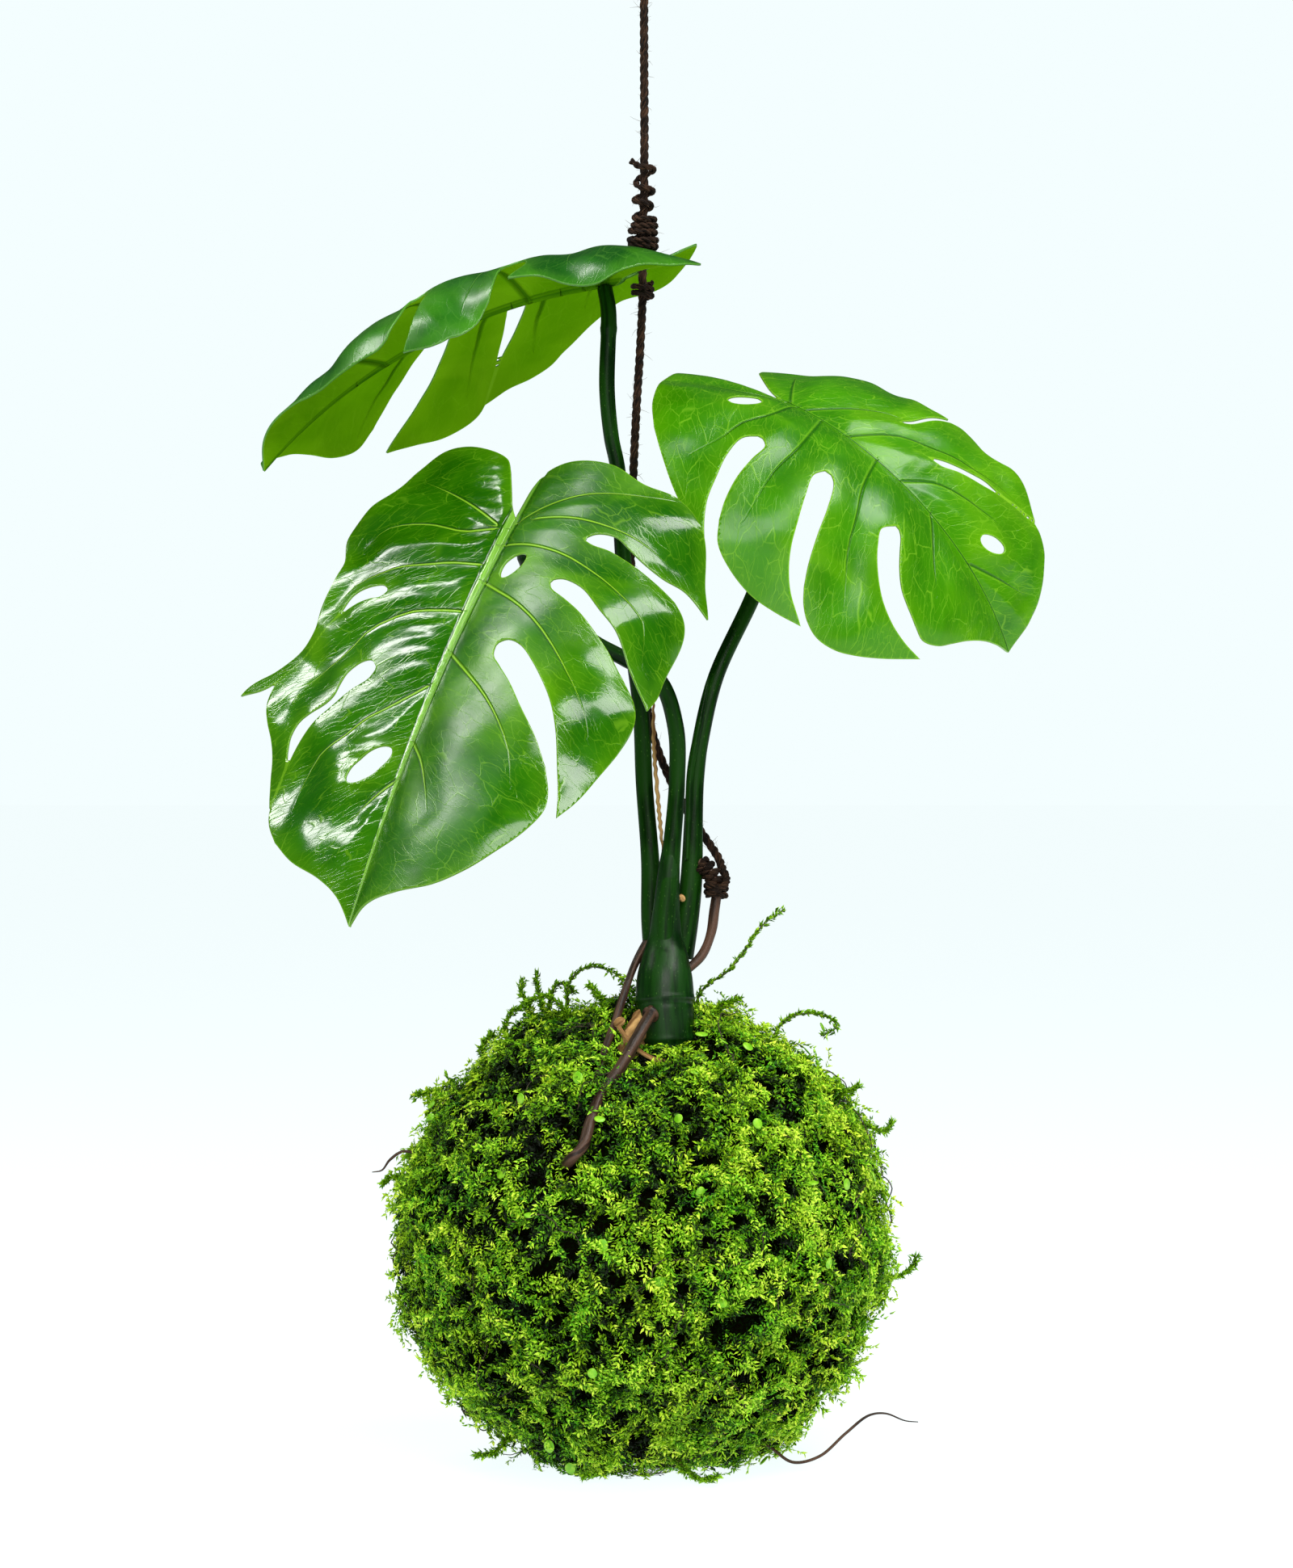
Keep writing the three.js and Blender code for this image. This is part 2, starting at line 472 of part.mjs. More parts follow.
/** A whole leaf as one closed blade, thicker along the midrib. */
function leafBlade(leaf) {
  const stations = leaf.columns.map((count, i) => Array.from({ length: count }, (_, c) => (
    leaf.breaks[i] + ((leaf.breaks[i + 1] - leaf.breaks[i]) * c) / count)));
  const length = leaf.breaks[leaf.breaks.length - 1];
  const upper = [];
  const lower = [];
  const triangles = [];
  const known = new Map();
  const vertexFor = (half, [u, w]) => {
    const onMidrib = Math.abs(w) < 1e-6 && u > leaf.breaks[0] - 1e-6;
    const key = `${onMidrib ? 0 : half.side},${u.toFixed(3)},${w.toFixed(3)}`;
    if (!known.has(key)) {
      const normal = bladeNormal(leaf.pose, half, u, w);
      if (onMidrib) {
        const other = leaf.halves.find((candidate) => candidate !== half);
        normal.add(bladeNormal(leaf.pose, other, u, w)).normalize();
      }
      const centre = bladePoint(leaf.pose, half, u, w).addScaledVector(normal, bladeRelief(leaf, half, u, w));
      const rib = onMidrib ? MIDRIB_DEPTH * (1 - 0.8 * Math.max(u, 0) / length) : 0;
      upper.push(centre.clone().addScaledVector(normal, BLADE_THICKNESS / 2));
      lower.push(centre.clone().addScaledVector(normal, -BLADE_THICKNESS / 2 - rib));
      known.set(key, upper.length - 1);
    }
    return known.get(key);
  };
  const addTriangle = (half, a, b, c) => {
    if (a === b || b === c || a === c) return;
    triangles.push(half.side > 0 ? [a, c, b] : [a, b, c]);
  };
  for (const half of leaf.halves) {
    for (const rows of halfPatches(leaf, half, stations)) {
      const index = rows.map((row) => row.map((flat) => vertexFor(half, flat)));
      for (let k = 0; k < LEAF_ROWS; k += 1) {
        for (let m = 0; m + 1 < index[k].length; m += 1) {
          const [a, b, c, d] = [index[k][m], index[k][m + 1], index[k + 1][m + 1], index[k + 1][m]];
          const folded = flatArea(rows[k][m], rows[k][m + 1], rows[k + 1][m + 1]) < 0
            || flatArea(rows[k][m], rows[k + 1][m + 1], rows[k + 1][m]) < 0;
          addTriangle(half, a, b, folded ? d : c);
          addTriangle(half, folded ? b : a, c, d);
        }
      }
    }
  }
  return closeSheet(upper, lower, triangles);
}

/** Two like faces of a sheet joined round every free edge. */
function closeSheet(upper, lower, triangles) {
  const count = upper.length;
  const free = new Map();
  for (const [a, b, c] of triangles) {
    for (const [from, to] of [[a, b], [b, c], [c, a]]) {
      if (free.has(`${to},${from}`)) free.delete(`${to},${from}`);
      else free.set(`${from},${to}`, [from, to]);
    }
  }
  const faces = triangles.flatMap(([a, b, c]) => [[a, b, c], [a + count, c + count, b + count]]);
  for (const [from, to] of free.values()) {
    faces.push([to, from, from + count], [to, from + count, to + count]);
  }
  return meshFrom([...upper, ...lower], faces);
}

/** Where a petiole meets its leaf: just under the thick foot of the midrib, end face level with it. */
function petioleEnd(leaf) {
  const { normal } = leafAxes(leaf.pose);
  const below = BLADE_THICKNESS / 2 + MIDRIB_DEPTH + GAP;
  const foot = vec(...leaf.pose.foot);
  return [foot.clone().addScaledVector(normal, -below - 9), foot.clone().addScaledVector(normal, -below)];
}

// ---------- stems and roots ----------
// Routes are lists of points from the crown outwards.
const PETIOLES = {
  petiole_a: { leaf: 'leaf_a', foot: 3.1,
    route: [[3.4, -9, 156], [2.6, -7.2, 168], [2.4, -4, 185], [0.6, 0, 209.5], [-0.4, 1.2, 232],
      [-3.6, 2, 256], [-5.9, 2.5, 279.5], [-7.6, 3, 307], [-9.6, 3.4, 317], [-11, 4, 332]] },
  petiole_b: { leaf: 'leaf_b', foot: 3.3,
    route: [[6.9, -17.6, 156], [7.1, -17, 167], [8.8, -15, 188], [10.6, -12.6, 210], [10.2, -12.4, 227],
      [5.3, -13.2, 241], [-5.6, -17, 247.8], [-14.7, -21, 252.6], [-24.3, -25.5, 260.2],
      [-32.5, -29.5, 269.5]] },
  petiole_c: { leaf: 'leaf_c', foot: 3.9,
    route: [[11.7, -9, 156], [13.6, -8.3, 168], [15, -6.8, 180], [16.4, -3, 211], [18.4, -1, 225],
      [23, 3.5, 243], [34.5, 12, 267.8], [40.5, 19, 284], [45, 24, 304]] },
};
const SHEATH_C = [[13.6, -9, 186], [14.3, -6.4, 200], [15, -4.8, 214], [17.6, -3.4, 228],
  [20.6, -0.6, 243.5]];
const CROWN = [[8, -20, CROWN_FOOT], [7.8, -21, 122], [7.4, -21, 134], [6.8, -19.5, 146], [7, -15, 158],
  [7.4, -12, 171]];
const CROWN_PROFILE = [0.72, 1.05, 1.12, 1.02, 1.0, 0.72]; // of CROWN_RADIUS, at even steps up the crown
const OLD_STEM = [[2, -22.5, 139], [-3.2, -25, 132], [-6.5, -28, 121]];
const ROOTS = {
  root_1: { radius: 1.9, route: [[4, -24, 142], [1, -33, 137.5], [-6.2, -46.5, 125.5], [-12.5, -55.5, 116.8],
    [-15.5, -61.5, 109], [-17.5, -66, 102], [-21.8, -69, 96.5]] },
  root_2: { radius: 1.25, route: [[1.4, -12.5, 161], [-2.4, -16, 154], [-5.4, -20, 146], [-8.4, -27, 137],
    [-11.2, -36.5, 129.5], [-13.8, -49, 119.5]] },
  root_3: { radius: 1.6, route: [[17.5, -7.5, 185], [21.3, -8.7, 181.5], [22.7, -9.5, 177], [22, -10, 170],
    [21, -11, 163.5], [18.2, -13.5, 157], [12.5, -16, 151.5]] },
};
const THIN_ROOT = [[-7.2, -30.2, 136], [-3.2, -33, 130.8], [2.5, -35, 127], [8.8, -35, 125.2],
  [13, -33, 121]];
const DRY_SHEATH = [[3.4, 0.9, 237], [3.5, 0.4, 222], [4.4, -0.6, 209.5], [5.4, -2.6, 198], [6.5, -4.8, 187]];
const FINE_ROOTS = {
  fine_root_left: [[-60, -8, 90], [-68, -9, 95.2], [-73.5, -9.5, 96.5], [-77.5, -10, 94], [-80, -10, 90.8],
    [-83, -10, 90.2]],
  fine_root_right: [[30, -12, 14], [40, -16, 6], [46, -18, 2.4], [54, -19, 4.4], [62, -19.5, 11.5],
    [69, -20, 17], [74, -20, 17.6], [80, -20, 15.4], [84, -20, 15]],
};
const FINE_ROOT_RADIUS = 0.45;

/** Radius along a piece from a list of factors at even steps. */
function profile(radius, factors) {
  return (t) => {
    const place = t * (factors.length - 1);
    const i = Math.min(Math.floor(place), factors.length - 2);
    return radius * THREE.MathUtils.lerp(factors[i], factors[i + 1], place - i);
  };
}

const fatten = (radiusAt) => (t) => (typeof radiusAt === 'function' ? radiusAt(t) : radiusAt) + GAP;
const rodAndRoom = (curve, radiusAt, sides, steps) => ({
  rod: toSolid(tube(curve, radiusAt, sides, steps)),
  room: toSolid(tube(curve, fatten(radiusAt), sides, steps)),
});

const petioles = {};
for (const [name, { leaf, foot, route }] of Object.entries(PETIOLES)) {
  const curve = curveThrough([...route, ...petioleEnd(LEAVES[leaf]).map((p) => p.toArray())]);
  const radiusAt = (t) => THREE.MathUtils.lerp(foot, PETIOLE_RADIUS, Math.min(t / 0.35, 1)) - 0.25 * t;
  petioles[name] = rodAndRoom(curve, radiusAt, PETIOLE_SIDES, 18);
}
const sheath = toSolid(tube(curveThrough(SHEATH_C), profile(1.5, [0.6, 1, 1, 0.8, 0.15]), 6, 8));
petioles.petiole_c.rod = petioles.petiole_c.rod.add(sheath);

const roots = {};
for (const [name, { radius, route }] of Object.entries(ROOTS)) {
  roots[name] = rodAndRoom(curveThrough(route), (t) => radius * (1 - 0.15 * t), 8, 12);
}
const oldStem = rodAndRoom(curveThrough(OLD_STEM), profile(3.6, [1, 1.08, 0.8]), 10, 5);
const thinRoot = rodAndRoom(curveThrough(THIN_ROOT), 0.7, 6, 8);
const fineRoots = Object.fromEntries(Object.entries(FINE_ROOTS).map(([name, route]) => (
  [name, rodAndRoom(curveThrough(route), FINE_ROOT_RADIUS, 4, 12)])));
const crown = rodAndRoom(curveThrough(CROWN), profile(CROWN_RADIUS, CROWN_PROFILE), 12, 10);

let crownSolid = crown.rod;
for (const { room } of [...Object.values(petioles), ...Object.values(roots), oldStem]) {
  crownSolid = crownSolid.subtract(room);
}
petioles.petiole_c.rod = petioles.petiole_c.rod.subtract(roots.root_3.room);
const oldStemSolid = oldStem.rod.subtract(roots.root_1.room).subtract(roots.root_2.room);

// ---------- moss ball ----------
const GAPS_IN_MOSS = [ // x and height on the front, radius and depth: where soil shows between the tufts
  [-26, 52, 8, 6], [-11, 47, 6, 5], [47, 42, 8, 6], [40, 36, 6, 5], [-44, 39, 7, 5], [-38, 26, 7, 5],
  [13, 102, 9, 6], [8, 91, 7, 5], [-16, 104, 6, 4],
];
const HOLLOW = { at: [5, -33, 132], radius: 15, depth: 7 }; // where the crown leaves the moss
const WISPS = [ // strands that stand out of the ball, each from its root outwards
  [[14, 4, 134], [19, 3, 146], [26, 2, 151], [30.5, 2, 156], [34.2, 1, 161.8], [38.5, 0, 167],
    [43.2, 0, 170]],
  [[38, -4, 127], [44, -4, 136.5], [51, -4, 138.6], [57.2, -4, 137.4], [59.8, -4, 134.6], [56, -4, 131.8]],
  [[54, -6, 113], [58, -6, 115.6], [62.5, -6, 114.2], [66.2, -6, 116.5]],
  [[68, -4, 56], [74.2, -4, 57.2], [79.2, -4, 58], [83, -4, 60.4], [84.4, -4, 63.4]],
  [[-23, 2, 136], [-22.6, 0, 148], [-17.2, -1, 152.6], [-12.5, -1, 152.4], [-7.5, -2, 150],
    [-5.2, -3, 145.6]],
  [[-29, 6, 130], [-28.6, 6, 142], [-26.8, 6, 146.6], [-24, 6, 147], [-21.6, 6, 144.6]],
  [[-33.5, 0, 128], [-35.4, 0, 141], [-37.6, 0, 145], [-36.6, 0, 148.2]],
  [[-46, 0, 121], [-49.4, 0, 126], [-48.6, 0, 129], [-46.4, 0, 131.6]],
  [[10, -34, 6], [15, -42, 2.6], [19, -47, 2.2], [22, -50, 3.4]],
];

/** The same sequence of numbers from 0 to 1 at every run. */
function randomSource(seed) {
  let state = seed;
  return () => {
    state = (state * 1664525 + 1013904223) % 4294967296;
    return state / 4294967296;
  };
}
const random = randomSource(SEED);

/** Point of the moss in a given direction, pressed flat where it rests on the ground. */
function mossPoint(direction) {
  const { x, y, z } = direction;
  const lumps = Math.sin(11 * x + 2.3 * Math.sin(7 * z) + 0.7) * Math.sin(10 * y + 1.9)
    + 0.7 * Math.sin(13 * z + 2.1 * Math.sin(8 * x) + 1.1);
  let radius = BALL_RADIUS * Math.hypot(x * BALL_WIDENING, y * BALL_WIDENING, z)
    + MOSS_RELIEF * lumps + MOSS_GRAIN * (2 * random() - 1);
  const point = direction.clone().multiplyScalar(radius).add(BALL_CENTRE);
  for (const [gapX, gapZ, reach, depth] of GAPS_IN_MOSS) {
    if (y < 0) radius -= depth * Math.exp(-(((point.x - gapX) ** 2 + (point.z - gapZ) ** 2) / reach ** 2));
  }
  radius -= HOLLOW.depth * Math.exp(-((point.distanceTo(vec(...HOLLOW.at)) / HOLLOW.radius) ** 2));
  const moved = direction.clone().multiplyScalar(radius).add(BALL_CENTRE);
  moved.z = Math.max(moved.z, 0);
  return moved;
}

/** The direction at a polar angle from straight down, shifted at random by up to a given angle. */
function spread(polar, angle, shift) {
  const p = polar + shift * (2 * random() - 1);
  const a = angle + (shift * (2 * random() - 1)) / Math.sin(polar);
  return vec(Math.sin(p) * Math.cos(a), Math.sin(p) * Math.sin(a), -Math.cos(p));
}

/** A closed ball from a function that gives the point in each direction; shift unsettles its grid. */
function ball(columns, rows, shift, pointAt) {
  const vertices = [pointAt(vec(0, 0, -1))];
  const triangles = [];
  for (let j = 1; j < rows; j += 1) {
    const polar = (Math.PI * j) / rows;
    for (let i = 0; i < columns; i += 1) {
      const angle = (2 * Math.PI * (i + 0.5 * (j % 2))) / columns;
      vertices.push(pointAt(spread(polar, angle, shift)));
    }
  }
  const top = vertices.push(pointAt(vec(0, 0, 1))) - 1;
  const at = (j, i) => 1 + (j - 1) * columns + (i % columns);
  for (let i = 0; i < columns; i += 1) {
    triangles.push([0, at(1, i + 1), at(1, i)], [top, at(rows - 1, i), at(rows - 1, i + 1)]);
    for (let j = 1; j < rows - 1; j += 1) {
      const [a, b, c, d] = [at(j, i), at(j, i + 1), at(j + 1, i), at(j + 1, i + 1)];
      if (j % 2) triangles.push([a, b, c], [b, d, c]);
      else triangles.push([a, b, d], [a, d, c]);
    }
  }
  return meshFrom(vertices, triangles);
}

/** A short bent tuft that stands out of the ball in a given direction. */
function tuft(direction) {
  const lean = vec(random() - 0.5, random() - 0.5, random() - 0.5);
  const root = direction.clone().multiplyScalar(BALL_RADIUS - 7).add(BALL_CENTRE);
  const bend = root.clone().addScaledVector(direction, 0.8 * TUFT_LENGTH).addScaledVector(lean, 3);
  const tip = bend.clone().addScaledVector(direction, 0.6 * TUFT_LENGTH).addScaledVector(lean, 8);
  return tube(curveThrough([root, bend, tip].map((p) => p.toArray())), profile(2.6, [1.3, 1, 0.3]), 4, 3);
}

const coreRadius = BALL_RADIUS - MOSS_THICKNESS;
const core = (radius) => toSolid(ball(CORE_COLUMNS, CORE_ROWS, 0, (d) => (
  d.clone().multiplyScalar(radius).add(BALL_CENTRE))));
let moss = toSolid(ball(BALL_COLUMNS, BALL_ROWS, GRID_SHIFT, mossPoint));
for (const wisp of WISPS) {
  moss = moss.add(toSolid(tube(curveThrough(wisp), profile(WISP_RADIUS, [1.6, 1.1, 1, 0.9, 0.4]), 5, 9)));
}
for (let i = 0; i < TUFT_COUNT; i += 1) { // spread evenly by the golden angle
  const height = 0.94 - (1.66 * (i + 0.5)) / TUFT_COUNT;
  const angle = i * Math.PI * (3 - Math.sqrt(5)) + 0.3 * random();
  const flat = Math.sqrt(1 - height * height);
  moss = moss.add(toSolid(tuft(vec(flat * Math.cos(angle), flat * Math.sin(angle), height))));
}
const throughMoss = [crown, oldStem, thinRoot, ...Object.values(roots), ...Object.values(fineRoots)];
moss = moss.subtract(core(coreRadius));
let soil = core(coreRadius - GAP);
for (const { room } of throughMoss) {
  moss = moss.subtract(room);
  soil = soil.subtract(room);
}

// ---------- twine ----------
// From the hanging loop down through the notch of the top leaf, behind the petioles, to its knot.
const TWINE_ROUTE = [
  [0.5, 11.4, TWINE_TOP], [0.5, 11.4, 440], [0.6, 11.4, 409], [0.3, 11.4, 385], [0, 11.4, 372],
  [0, 11.4, 361], [-0.8, 11.2, 344], [-1.8, 11, 328], [-2.6, 10.6, 312], [-3.2, 10.2, 296],
  [-3.6, 9.9, 279], [-2.4, 9.6, 262], [0, 9.2, 242], [3.5, 8.6, 224], [8.5, 8, 211], [14.5, 6.4, 200],
  [20, 3, 192], [23.5, -2, 186.5], [24.4, -5, 184], [25.3, -8.2, 181.7],
];
const TWINE_STEPS = 36;
const WRAP = {
  top: 403, loose: 386.5, tight: 373.4, looseTurns: 3, tightTurns: 6, looseRadius: 2.65, tightRadius: 3.6,
};
const LEAF_KNOT = { at: [0, 11.4, 363.6], radius: 2.9, height: 4.4, turns: 2.2 };
const LOOP_KNOT = { at: [0.5, 11.4, 465], radius: 2.75, height: 6.4, turns: 3.2 };
const ROOT_KNOT = { at: [22.6, -9.5, 177], radius: 2.95, height: 4.4, turns: 2.2 };

/** A helix about a point of the twine or of a root, as a curve. */
function helix({ at, radius, height, turns }) {
  const count = Math.round(turns * 8);
  return curveThrough(Array.from({ length: count + 1 }, (_, i) => {
    const angle = (2 * Math.PI * turns * i) / count;
    const level = at[2] + height * (0.5 - i / count);
    return [at[0] + radius * Math.cos(angle), at[1] + radius * Math.sin(angle), level];
  }));
}

/** The wrap: the twine's loose end winds round it a few times, then tightly. */
function wrapCurve() {
  const twine = curveThrough(TWINE_ROUTE);
  const points = [[-3.6, 9, WRAP.top + 0.6]];
  const wind = (from, to, turns, radius) => {
    const count = turns * 8;
    for (let i = 1; i <= count; i += 1) {
      const height = THREE.MathUtils.lerp(from, to, i / count);
      const centre = twine.getPointAt(twineShare(twine, height));
      const angle = Math.PI + (2 * Math.PI * i) / 8;
      points.push([centre.x + radius * Math.cos(angle), centre.y + radius * Math.sin(angle), height]);
    }
  };
  wind(WRAP.top, WRAP.loose, WRAP.looseTurns, WRAP.looseRadius);
  wind(WRAP.loose, WRAP.tight, WRAP.tightTurns, WRAP.tightRadius);
  return curveThrough(points);
}

/** Share of the twine's length at which it passes a height on its straight upper stretch. */
function twineShare(twine, height) {
  return (TWINE_TOP - height) / twine.getLength();
}

const loopPoints = [[-1.1, 11.4, TWINE_TOP + GAP], [-2.4, 11.4, 475.4], [-8, 11.4, 481],
  [-LOOP_RADIUS + 0.5, 11.4, 486], [-6, 11.4, 492.4], [0.5, 11.4, 495], [7, 11.4, 492.4],
  [LOOP_RADIUS + 0.5, 11.4, 486], [9, 11.4, 481], [3.4, 11.4, 475.4], [2.1, 11.4, TWINE_TOP + GAP]];

// ---------- the part ----------
addPiece('soil_core', toGeometry(soil), SOIL);
addPiece('moss_jacket', toGeometry(moss), MOSS);
addPiece('crown', toGeometry(crownSolid), STEM);
addPiece('old_stem', toGeometry(oldStemSolid), TAN);
for (const [name, { rod }] of Object.entries(petioles)) addPiece(name, toGeometry(rod), STEM);
for (const [name, leaf] of Object.entries(LEAVES)) addPiece(name, leafBlade(leaf), leaf.material);
for (const [name, { rod }] of Object.entries(roots)) addPiece(name, toGeometry(rod), ROOT);
addPiece('thin_root', toGeometry(thinRoot.rod), TAN);
for (const [name, { rod }] of Object.entries(fineRoots)) addPiece(name, toGeometry(rod), ROOT);
addPiece('dry_sheath', tube(curveThrough(DRY_SHEATH), profile(0.6, [0.5, 1, 1, 0.6]), 6, 8), TAN);
addPiece('twine', cord(curveThrough(TWINE_ROUTE), TWINE_DIAMETER, TWINE_SIDES, TWINE_STEPS), TWINE);
addPiece('twine_wrap', tube(wrapCurve(), WRAP_DIAMETER / 2, 5, 72), TWINE);
addPiece('twine_leaf_knot', tube(helix(LEAF_KNOT), KNOT_STRAND, 5, 20), TWINE);
addPiece('twine_root_knot', tube(helix(ROOT_KNOT), KNOT_STRAND, 5, 20), TWINE);
addPiece('twine_loop', cord(curveThrough(loopPoints), TWINE_DIAMETER, TWINE_SIDES, 14), TWINE);
addPiece('twine_loop_knot', tube(helix(LOOP_KNOT), KNOT_STRAND, 5, 28), TWINE);

export default part;
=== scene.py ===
"""Kokedama: a young split-leaf plant in a moss-jacketed ball of soil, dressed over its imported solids.

Lengths are in millimetres until a mesh is written, where they become metres. One frame is used
throughout: +X to the right and +Y away as the photograph is taken, +Z up, origin at the middle
of the spot on which the ball rests.
"""

from __future__ import annotations

import logging
import math
from dataclasses import dataclass, field
from enum import Enum
from typing import Any, Callable, Sequence

import bpy
import numpy as np
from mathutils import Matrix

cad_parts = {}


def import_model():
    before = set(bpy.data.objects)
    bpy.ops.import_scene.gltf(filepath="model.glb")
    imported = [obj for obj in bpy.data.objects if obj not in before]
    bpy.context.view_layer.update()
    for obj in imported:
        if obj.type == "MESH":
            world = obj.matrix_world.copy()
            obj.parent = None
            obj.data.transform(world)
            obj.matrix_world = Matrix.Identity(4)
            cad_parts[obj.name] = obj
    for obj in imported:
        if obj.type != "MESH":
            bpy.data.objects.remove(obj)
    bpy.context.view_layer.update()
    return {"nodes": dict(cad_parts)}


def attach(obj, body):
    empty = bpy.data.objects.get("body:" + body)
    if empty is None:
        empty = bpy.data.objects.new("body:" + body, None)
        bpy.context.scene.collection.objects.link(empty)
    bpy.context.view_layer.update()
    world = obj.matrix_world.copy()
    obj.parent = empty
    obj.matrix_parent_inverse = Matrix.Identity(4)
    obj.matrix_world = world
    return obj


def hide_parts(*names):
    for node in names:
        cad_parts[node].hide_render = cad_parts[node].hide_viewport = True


LOG = logging.getLogger("kokedama")
MM = 0.001
TAU = 2.0 * math.pi
IMAGE_WIDTH, IMAGE_HEIGHT = 1600, 1941
Array = np.ndarray
Point = tuple[float, float, float]
Flat = tuple[float, float]
Colour = tuple[float, float, float]
Socket = bpy.types.NodeSocket
Ripple = Callable[[Array, Array], Array]
AWAY: Point = (0, 1, 0)
UP: Point = (0, 0, 1)
STRETCH_STEPS = 32


# ---------------------------------------------------------------- surfaces


@dataclass
class Surface:
    """A mesh in the making: vertices in millimetres, faces, and numbers held at each vertex."""

    vertices: Array
    faces: list[Array]
    fields: dict[str, Array] = field(default_factory=dict)
    slots: list[Array] | None = None


def join_all(surfaces: Sequence[Surface]) -> Surface:
    """Put surfaces with the same fields side by side, in order, as one."""
    shifts = np.cumsum([0] + [len(surface.vertices) for surface in surfaces])
    return Surface(
        np.concatenate([surface.vertices for surface in surfaces]),
        [faces + shift for surface, shift in zip(surfaces, shifts) for faces in surface.faces],
        {key: np.concatenate([surface.fields[key] for surface in surfaces]) for key in surfaces[0].fields},
    )


def place_object(name: str, data: bpy.types.ID) -> bpy.types.Object:
    """Put an object with the given data into the scene."""
    made = bpy.data.objects.new(name, data)
    bpy.context.scene.collection.objects.link(made)
    return made


def write_piece(
    name: str,
    surface: Surface,
    materials: Sequence[bpy.types.Material],
    replaces: Sequence[str] = (),
    smooth: bool = True,
) -> bpy.types.Object:
    """Write a surface into a Blender object that rides on the plant.

    Args:
        name: the piece's name.
        surface: its vertices, faces and fields.
        materials: its finishes, one per material index.
        replaces: the CAD nodes that it stands for.
        smooth: whether its faces are shaded as one smooth surface.

    Returns:
        The new object.
    """
    mesh = bpy.data.meshes.new(name)
    corners = np.concatenate([faces.ravel() for faces in surface.faces]).astype(np.int32)
    sizes = np.concatenate([np.full(len(faces), faces.shape[1]) for faces in surface.faces])
    starts = np.concatenate([[0], np.cumsum(sizes)[:-1]]).astype(np.int32)
    mesh.vertices.add(len(surface.vertices))
    mesh.vertices.foreach_set("co", (surface.vertices * MM).astype(np.float32).ravel())
    mesh.loops.add(len(corners))
    mesh.loops.foreach_set("vertex_index", corners)
    mesh.polygons.add(len(sizes))
    mesh.polygons.foreach_set("loop_start", starts)
    if surface.slots is not None:
        mesh.polygons.foreach_set("material_index", np.concatenate(surface.slots).astype(np.int32))
    mesh.update(calc_edges=True)
    mesh.polygons.foreach_set("use_smooth", np.full(len(sizes), smooth))
    for key, values in surface.fields.items():
        kind, entry = ("FLOAT_VECTOR", "vector") if values.ndim == 2 else ("FLOAT", "value")
        attribute = mesh.attributes.new(key, kind, "POINT")
        attribute.data.foreach_set(entry, values.astype(np.float32).ravel())
    for material in materials:
        mesh.materials.append(material)
    piece = place_object(name, mesh)
    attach(piece, "root")
    if replaces:
        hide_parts(*replaces)
    LOG.info("%s: %d vertices, %d faces", name, len(surface.vertices), len(sizes))
    return piece


def unit(vectors: Array) -> Array:
    """Scale vectors to length one."""
    return vectors / np.maximum(np.linalg.norm(vectors, axis=-1, keepdims=True), 1e-12)


def bell(distance: Array, width: float) -> Array:
    """Bell curve: one in the middle, exp(-1) at the given width."""
    return np.exp(-((distance / width) ** 2))


def lengths_along(path: Array) -> Array:
    """Length from the start of a path to each of its points."""
    return np.concatenate([[0], np.cumsum(np.linalg.norm(np.diff(path, axis=0), axis=1))])


def smooth_path(points: Sequence[Sequence[float]], count: int) -> Array:
    """Carry a centripetal Catmull-Rom curve through points and space it evenly.

    Each stretch between two points is a cubic whose end slopes come from its neighbours,
    weighted by the square roots of the distances; the end points are mirrored outwards.

    Args:
        points: the points that the curve passes through.
        count: how many even steps it is cut into.

    Returns:
        count + 1 points along the curve.
    """
    knots = np.asarray(points, float)
    ends = np.vstack([2 * knots[0] - knots[1], knots, 2 * knots[-1] - knots[-2]])
    p0, p1, p2, p3 = ends[:-3], ends[1:-2], ends[2:-1], ends[3:]
    root = np.sqrt(np.linalg.norm(np.diff(ends, axis=0), axis=1))[:, None]
    d0, d1, d2 = root[:-2], root[1:-1], root[2:]
    m1 = d1 * ((p1 - p0) / d0 - (p2 - p0) / (d0 + d1) + (p2 - p1) / d1)
    m2 = d1 * ((p2 - p1) / d1 - (p3 - p1) / (d1 + d2) + (p3 - p2) / d2)
    t = np.linspace(0, 1, STRETCH_STEPS + 1)[None, :, None]
    a, b, c, d = (x[:, None, :] for x in (p1, p2, m1, m2))
    dense = a + c * t + (-3 * a + 3 * b - 2 * c - d) * t**2 + (2 * a - 2 * b + c + d) * t**3
    dense = np.concatenate([dense[:, :-1].reshape(-1, knots.shape[1]), knots[-1:]])
    along = lengths_along(dense)
    even = np.linspace(0, along[-1], count + 1)
    return np.stack([np.interp(even, along, column) for column in dense.T], axis=1)


def path_frame(path: Array, reference: Point) -> tuple[Array, Array]:
    """Find two directions across a path at each of its points.

    The first is the reference with its share along the path taken off, the second is square
    to it and to the path.

    Args:
        path: points along the path.
        reference: a direction that the path never runs along.

    Returns:
        The first directions across and the second ones.
    """
    tangent = unit(np.gradient(path, axis=0))
    ref = np.asarray(reference, float)[None, :]
    first = unit(ref - tangent * (tangent * ref).sum(1, keepdims=True))
    return first, np.cross(tangent, first)


